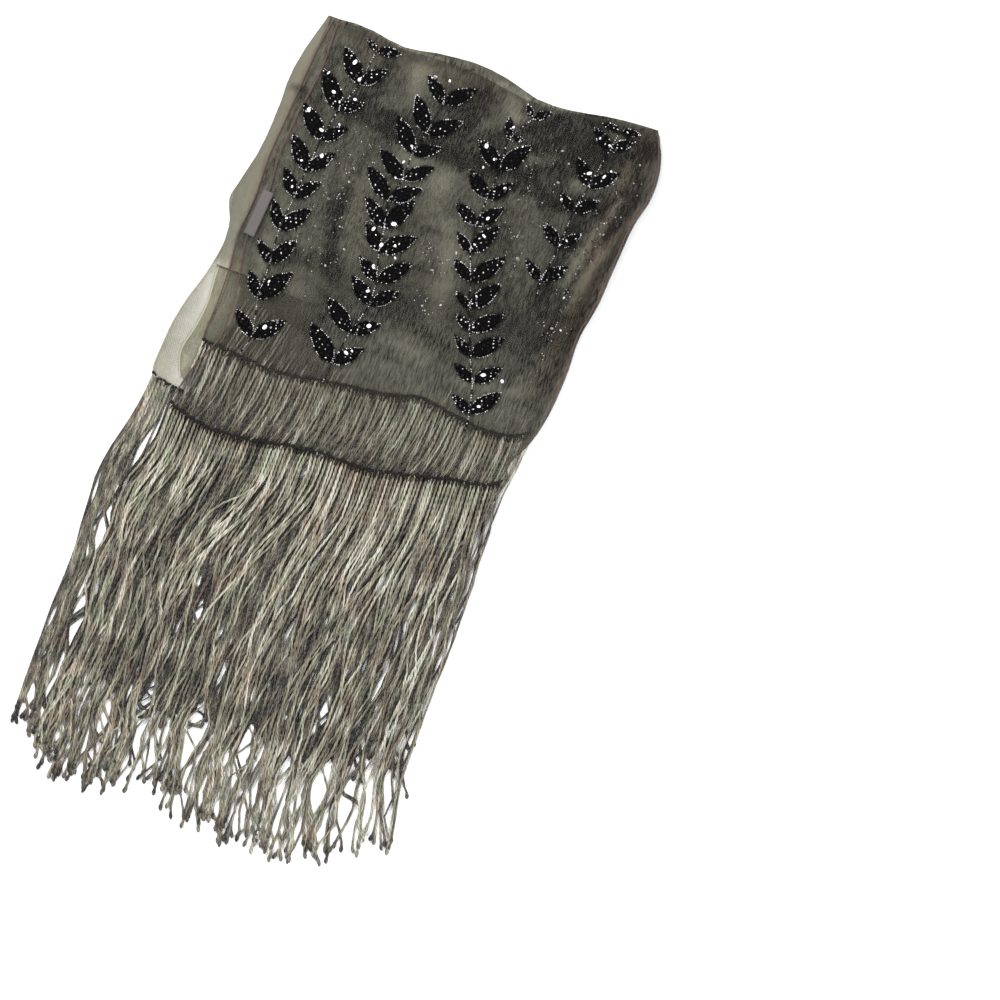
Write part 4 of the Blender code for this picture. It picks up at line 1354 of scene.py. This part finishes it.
def strands(name, paths, tones, lengths, downs, under, thick, material, node):
    """Joins a tube for each path into one piece, from copies of a single strand."""
    mesh = repeated(name, strand_pattern(downs), len(paths))
    count, rings = paths.shape[:2]
    pattern = points_of(mesh).reshape(count, -1, 3)[0]
    ring = np.rint((pattern[:, 2] + 0.5) * (rings - 1)).astype(int)
    ahead = np.gradient(paths, axis=1)
    ahead[:, :, 2] = 0
    ahead /= np.linalg.norm(ahead, axis=2, keepdims=True)
    side = np.stack([-ahead[:, :, 1], ahead[:, :, 0], np.zeros((count, rings))], axis=2)
    wide = np.interp(downs, [0, KNOT[0][0]] + [down for down, _ in KNOT], [1, 1] + [size for _, size in KNOT])
    radius = thick / 2 * wide[None, :] * np.random.default_rng(count).uniform(0.85, 1.15, (count, 1))
    paths[:, :, 2] = np.maximum(paths[:, :, 2], radius + CLEAR)
    round_x, round_y = pattern[:, 0][None, :, None], pattern[:, 1][None, :, None]
    up = np.array((0.0, 0.0, 1.0))
    spots = paths[:, ring] + radius[:, ring, None] * (round_x * side[:, ring] + round_y * up)
    move_points(mesh, spots)
    # Painted shade under the outermost cords, darker knotted ends, and patches of painted shade and light
    knots = np.interp(downs, [0, 0.12, 0.24, 0.97, 0.985, 1], np.array([0, 0, 1, 1, 1, 1]) * -under)
    knots += np.interp(downs, [0, 0.97, 0.985, 1], [0, 0, -0.25, -0.3])
    dim = strokes(spots[:, :, 0], spots[:, :, 1], FRINGE_SHADES, "dim")
    paint(mesh, "tone", np.clip(tones[:, None] + knots[ring][None, :] - dim, 0, 1).ravel())
    layer = mesh.uv_layers["strand"].uv
    uv = np.empty(len(layer) * 2, np.float32)
    layer.foreach_get("vector", uv)
    uv = uv.reshape(count, -1, 2)
    uv[:, :, 1] *= lengths[:, None] * MM
    layer.foreach_set("vector", uv.ravel())
    return add_piece(name, mesh, [material], "fringe", node)


class WRAP_OT_fringes(bpy.types.Operator):
    """Hangs the twisted cords from both ends of the wrap"""

    bl_idname = "wrap.fringes"
    bl_label = "Hang the fringes"

    def execute(self, context):
        looks = context.scene.wrap_looks.fringe
        cord = rayon_cord("twisted_rayon", looks)
        downs = np.concatenate(
            [np.linspace(0, 0.97, STRAND_RINGS - len(KNOT)), [down for down, _ in KNOT]]
        )
        rng = np.random.default_rng(21)
        locks = dict(
            edges=lock_edges(rng), pull=rng.uniform(*LOCK_PULL, LOCKS),
            longer=rng.uniform(-LOCK_LONGER, LOCK_LONGER, LOCKS), lean=rng.normal(0, LOCK_LEAN, LOCKS),
            tone=rng.normal(0, LOCK_TONE, LOCKS),
        )
        hems = dict(
            outer_front=laid["outer_front"]["hem"] - (0, HEM_DOWN, HEM_BELOW),
            outer_back=laid["outer_back"]["hem"] - (0, HEM_DOWN, -BACK_HEM_ABOVE),
            inner_front=laid["inner_front"]["hem"] - (0, HEM_DOWN, HEM_BELOW),
            inner_back=np.array([[row["x"], row["y"], row["z"]] for row in HIDDEN_HEM]),
        )
        nodes = dict(
            outer_front="outer_front_fringe", outer_back="outer_back_fringe", inner_front="inner_fringe"
        )
        for name, fringe in FRINGES.items():
            outer = name.startswith("outer")
            paths, tones, lengths = strand_paths(
                fringe, hems[name], OUTER_SPREAD if outer else INNER_SPREAD,
                OUTER_TIPS if outer else INNER_TIPS, downs, locks,
            )
            strands(
                name + "_cords", paths, tones, lengths, downs, fringe["under"], looks.cord / MM, cord,
                nodes.get(name),
            )
        return {"FINISHED"}


class WRAP_OT_knots(bpy.types.Operator):
    """Ties the row of black knots along each hem"""

    bl_idname = "wrap.knots"
    bl_label = "Tie the hem knots"

    def execute(self, context):
        looks = context.scene.wrap_looks.fringe
        thread = knot_thread("black_thread", looks.thread, linear("#1C1917"), 0.2)
        rng = np.random.default_rng(31)
        for name in ("outer_front", "inner_front", "outer_back"):
            hem = laid[name]["hem"]
            if name == "outer_back":
                hem = hem[hem[:, 0] < BACK_HEM_SHOWS]
            reach = runs_along(hem[:, :2])
            count = int(reach[-1] / KNOT_STEP * HEM_KNOTS_PER_STEP)
            at = (np.arange(count) + rng.uniform(0.2, 0.8, count)) / count * reach[-1]
            places = np.stack([np.interp(at, reach, hem[:, axis]) for axis in range(3)], axis=1)
            wound = np.arange(count) % 2 == 1
            lower, upper = (rng.uniform(*kind["down"], count) for kind in (HEM_WIND, HEM_KNOT))
            places[:, 1] -= np.where(wound, lower, upper)
            sizes = np.where(wound[:, None], HEM_WIND["size"], HEM_KNOT["size"])
            sizes = sizes * rng.uniform(*HEM_KNOT_UNEVEN, (count, 1))
            raised = places[:, 2] + np.where(wound, HEM_WIND["up"], HEM_KNOT["up"])
            places[:, 2] = np.maximum(raised, sizes[:, 2] + CLEAR)
            turns = np.zeros((count, 3))
            turns[:, 2] = rng.uniform(-HEM_KNOT_TURN, HEM_KNOT_TURN, count)
            knot = bmesh.new()
            bmesh.ops.create_uvsphere(
                knot, u_segments=HEM_KNOT_SIDES[0], v_segments=HEM_KNOT_SIDES[1], radius=1.0
            )
            mesh = scattered(name + "_knots", knot, places, sizes, turns)
            add_piece(name + "_hem_knots", mesh, [thread], "fringe")
        return {"FINISHED"}


def leaf_half(share, long):
    """Half the leaf's width at shares of its length, broadest below its middle."""
    return LEAF_PLUMP / 2 * long * np.sin(math.pi * share**0.8) ** 0.85


def leaf_rim(long, step):
    """Places round a leaf's rim, in the leaf's own axes: aside and ahead."""
    share = np.linspace(0, 1, 120)
    half = leaf_half(share, long)
    bend = LEAF_BEND * share**2
    outline = np.concatenate([
        np.stack([bend - half, share * long], axis=1), np.stack([bend + half, share * long], axis=1)[::-1],
    ])
    runs = runs_along(outline)
    count = max(6, round(runs[-1] / step))
    at = np.arange(count) / count * runs[-1]
    return np.stack([np.interp(at, runs, outline[:, axis]) for axis in range(2)], axis=1)


def leaf_middle(long, step):
    """Places in three rows within a leaf, in the leaf's own axes."""
    count = max(4, round(long * 0.76 / step))
    share = np.linspace(0.1, 0.88, count)
    side = np.resize((-0.45, 0.45, 0.0), count) * leaf_half(share, long)
    return np.stack([LEAF_BEND * share**2 + side, share * long], axis=1)


def vine_layout(vine):
    """Leaves of a vine, each as its root, its two axes and its length, and the line of its stem."""
    leaves = []
    for pair in vine["pairs"]:
        for side, tip in ((-1, pair[2:4]), (1, pair[4:])):
            root = Vector(pair[:2])
            aim = (Vector(tip) - root).normalized()
            root += aim * STEM_GAP
            leaves.append((root, Vector((aim.y, -aim.x)) * side, aim, (Vector(tip) - root).length))
    return leaves, [*(Vector(pair[:2]) for pair in vine["pairs"]), Vector(vine["foot"])]


def along_stem(line, step):
    """Places at equal steps along a stem."""
    points = np.array([spot[:] for spot in line])
    runs = runs_along(points)
    at = np.arange(0, runs[-1], step)
    return np.stack([np.interp(at, runs, points[:, axis]) for axis in range(2)], axis=1)


def sew_backing(name, leaves, ply, material):
    """Lays a low plump black leaf under the sequins of each leaf."""
    pattern = bmesh.new()
    bmesh.ops.create_uvsphere(pattern, u_segments=12, v_segments=12, radius=1.0)
    mesh = repeated(name, pattern, len(leaves))
    ball = points_of(mesh).reshape(len(leaves), -1, 3)[0].astype(float)
    share = np.clip((ball[:, 2] + 1) / 2, 0, 1)
    turn = np.arctan2(ball[:, 1], ball[:, 0])
    spots = []
    for root, aside, aim, long in leaves:
        half = leaf_half(share, long) * BACKING_SHARE
        side = LEAF_BEND * share**2 + half * np.cos(turn)
        x = root.x + aside.x * side + aim.x * share * long
        y = root.y + aside.y * side + aim.y * share * long
        z = np.array([height_on(ply, *spot) for spot in zip(x, y)])
        z = z + BACKING_LIFT + BACKING_HIGH * np.sin(turn) * half / half.max()
        spots.append(np.stack([x, y, z], axis=1))
    move_points(mesh, np.concatenate(spots))
    shape = bmesh.new()
    shape.from_mesh(mesh)
    bmesh.ops.recalc_face_normals(shape, faces=shape.faces[:])
    shape.to_mesh(mesh)
    shape.free()
    add_piece(name + "_backing", mesh, [material], "beads")


def sew_flakes(name, spots, sizes, rng, ply, lift, materials, flashing):
    """Sews flat sequins at places on a ply, each with its half length and half width; some flash as painted
    glints.
    """
    count = len(spots)
    places = np.array([(x, y, height_on(ply, x, y)) for x, y in spots])
    places[:, 2] += lift + rng.uniform(0, 0.4, count) + flashing * 0.7
    turns = rng.normal(0, 0.3, (count, 3)) * np.where(flashing, 0.25, 1.0)[:, None]
    turns[:, 2] = rng.uniform(0, math.tau, count)
    flake = bmesh.new()
    bmesh.ops.create_cone(
        flake, cap_ends=True, segments=SEQUIN_SIDES, radius1=1.0, radius2=0.72, depth=1.0
    )
    each = len(flake.faces)
    mesh = scattered(name, flake, places, np.column_stack([sizes, np.full(count, SEQUIN_THICK)]), turns)
    add_piece(name, mesh, materials, "beads")
    mesh.shade_flat()
    mesh.polygons.foreach_set("material_index", np.repeat(flashing.astype(np.int32), each))


def sew_vine(name, vine, ply, looks, materials, rng, node=None):
    """Sews a vine's beads and sequins on a ply, or the few of a hidden vine that catch light."""
    leaves, line = vine_layout(vine)
    beads, sequins = [], []
    for root, aside, aim, long in leaves:
        for kind, spots in ((beads, leaf_rim(long, RIM_STEP)), (sequins, leaf_middle(long, SEQUIN_STEP))):
            spots = spots + rng.normal(0, SEWN_STRAY, spots.shape)
            kind += [(root + aside * float(a) + aim * float(b)) for a, b in spots]
    beads += [Vector(spot) for spot in along_stem(line, STEM_STEP)]

    half = looks.bead / MM / 2
    if not node:
        beads = [
            spot + Vector(rng.normal(0, HIDDEN_STRAY, 2)) for spot in beads if rng.random() < HIDDEN_KEPT
        ]
    count = len(beads)
    places = np.array([(b.x, b.y, height_on(ply, b.x, b.y)) for b in beads])
    # The flashes come in runs, more in some leaves than in others
    runs = np.array([noise.noise(Vector((b.x / 7, b.y / 7, 0.0))) for b in beads])
    bright = rng.random(count) < RIM_FLASH * (1 + 1.6 * runs)
    small, usual = (half * rng.uniform(*BEAD_SIZES[kind], count) for kind in ("bright", "plain"))
    size = np.where(bright, small, usual)
    places[:, 2] += half * 0.8 + rng.uniform(0, 0.25, count) + bright * half * 0.6
    # Silver-lined beads are low, so that they flash toward the light above; their near white is a painted
    # glint
    sizes = np.stack([size, size, size * np.where(bright, 0.45, 0.85)], axis=1)
    bead = bmesh.new()
    bmesh.ops.create_uvsphere(bead, u_segments=BEAD_SIDES[0], v_segments=BEAD_SIDES[1], radius=1.0)
    each = len(bead.faces)
    mesh = scattered(name + "_beads", bead, places, sizes, rng.uniform(-0.25, 0.25, (count, 3)))
    add_piece(name + "_beads", mesh, materials[:2], "beads", node)
    mesh.polygons.foreach_set("material_index", np.repeat(bright.astype(np.int32), each))
    if not node:
        return

    half = looks.sequin / MM / 2
    count = len(sequins)
    # Sequins that flash take the near white lined glass: a painted glint
    bright = rng.random(count) < SEQUIN_FLASH
    small, usual = (rng.uniform(*SEQUIN_SIZES[kind], count) for kind in ("bright", "plain"))
    size = half * np.where(bright, small, usual)
    sizes = np.stack([size, size * np.where(bright, 1.7, 1.0)], axis=1)
    sew_flakes(
        name + "_sequins", [spot[:] for spot in sequins], sizes, rng, ply, SEQUIN_LIFT,
        [materials[2], materials[1]], bright,
    )
    sew_backing(name, leaves, ply, materials[3])


class WRAP_OT_vines(bpy.types.Operator):
    """Sews the beaded leaf vines on the outer front ply"""

    bl_idname = "wrap.vines"
    bl_label = "Sew the vines"

    def execute(self, context):
        looks = context.scene.wrap_looks.beads
        # The lined glass and the silver foil are near white with little metal: painted glints
        materials = [
            glossy("jet_glass", looks.jet, 0.0, 0.12, 0.4, 0.16),
            glossy("silver_lined_glass", looks.lined, 0.2, 0.18, 0.24, 0.5),
            glossy("black_foil_sequin", looks.foil, 0.0, 0.2, 0.4, 0.14),
            knot_thread("black_backing", linear("#020202"), linear("#080707"), 0.04),
            glossy("silver_foil_sequin", looks.lined, 0.2, 0.2, 0.8, 0.5),
        ]
        rng = np.random.default_rng(11)
        for name, vine in VINES.items():
            sew_vine(name, vine, "outer_front", looks, materials, rng, node=name)
        glints = np.array(GLINTS)
        sew_flakes(
            "glints", glints[:, :2], glints[:, 2:], rng, "outer_front", GLINT_LIFT, materials[4:],
            np.zeros(len(glints), bool),
        )
        return {"FINISHED"}


class WRAP_OT_hidden_vines(bpy.types.Operator):
    """Sews the vines of the hidden ply, which show faintly through the net"""

    bl_idname = "wrap.hidden_vines"
    bl_label = "Sew the hidden vines"

    def execute(self, context):
        looks = context.scene.wrap_looks.beads
        # The near white glass gives the hidden beads painted glints through the net
        materials = [
            glossy("dim_glass", linear("#3A3935"), 0.0, 0.2, 0.5, 0.5),
            glossy("clear_glass", looks.hidden, 0.2, 0.3, 0.6, 0.6),
        ]
        rng = np.random.default_rng(12)
        for i, vine in enumerate(HIDDEN_VINES, 1):
            sew_vine(f"hidden_vine_{i}", vine, "layers", looks, materials, rng)
        ghosts = np.array(GHOSTS)
        sew_flakes(
            "hidden_glints", ghosts[:, :2], ghosts[:, 2:], rng, "layers", GHOST_LIFT, materials[1:],
            np.zeros(len(ghosts), bool),
        )
        return {"FINISHED"}


class WRAP_OT_label(bpy.types.Operator):
    """Sews the small blank label over the left edge"""

    bl_idname = "wrap.label"
    bl_label = "Sew the label"

    def execute(self, context):
        ribbon = upper_side("label")
        bmesh.ops.subdivide_edges(ribbon, edges=ribbon.edges[:], cuts=LABEL_CUTS, use_grid_fill=True)
        for _ in range(SMOOTH_ROUNDS):
            bmesh.ops.smooth_vert(ribbon, verts=ribbon.verts[:], factor=0.5, use_axis_z=True)
        for vert in ribbon.verts:
            vert.co.z += LABEL_LIFT * MM
        piece = add_piece(
            "woven_label", mesh_of(ribbon, "woven_label"), [woven_ribbon("satin_ribbon")], "label", "label"
        )
        shell = piece.modifiers.new("Shell", "SOLIDIFY")
        shell.thickness = LABEL_THICK * MM
        shell.offset = -1.0
        return {"FINISHED"}


STEPS = (
    WRAP_OT_stage, WRAP_OT_layers, WRAP_OT_plies, WRAP_OT_edges, WRAP_OT_fringes, WRAP_OT_knots,
    WRAP_OT_vines, WRAP_OT_hidden_vines, WRAP_OT_label,
)
GROUPS = (ClothLooks, BeadLooks, FringeLooks, StageLooks, WrapLooks)


class WRAP_PT_panel(bpy.types.Panel):
    """Lists the pieces and their settings"""

    bl_label = "Tulle wrap"
    bl_idname = "WRAP_PT_panel"
    bl_space_type = "VIEW_3D"
    bl_region_type = "UI"
    bl_category = "Wrap"

    def draw(self, context):
        looks = context.scene.wrap_looks
        for title, group in (
            ("Cloth", looks.cloth), ("Beads", looks.beads), ("Fringe", looks.fringe), ("Stage", looks.stage)
        ):
            box = self.layout.box()
            box.label(text=title)
            for name in group.__annotations__:
                box.prop(group, name)
        for step in STEPS:
            self.layout.operator(step.bl_idname)


def register():
    for item in (*GROUPS, *STEPS, WRAP_PT_panel):
        bpy.utils.register_class(item)
    bpy.types.Scene.wrap_looks = bpy.props.PointerProperty(type=WrapLooks)


def unregister():
    del bpy.types.Scene.wrap_looks
    for item in reversed((*GROUPS, *STEPS, WRAP_PT_panel)):
        bpy.utils.unregister_class(item)


def main():
    register()
    for step in STEPS:
        group, name = step.bl_idname.split(".")
        getattr(getattr(bpy.ops, group), name)()


if __name__ == "__main__":
    main()
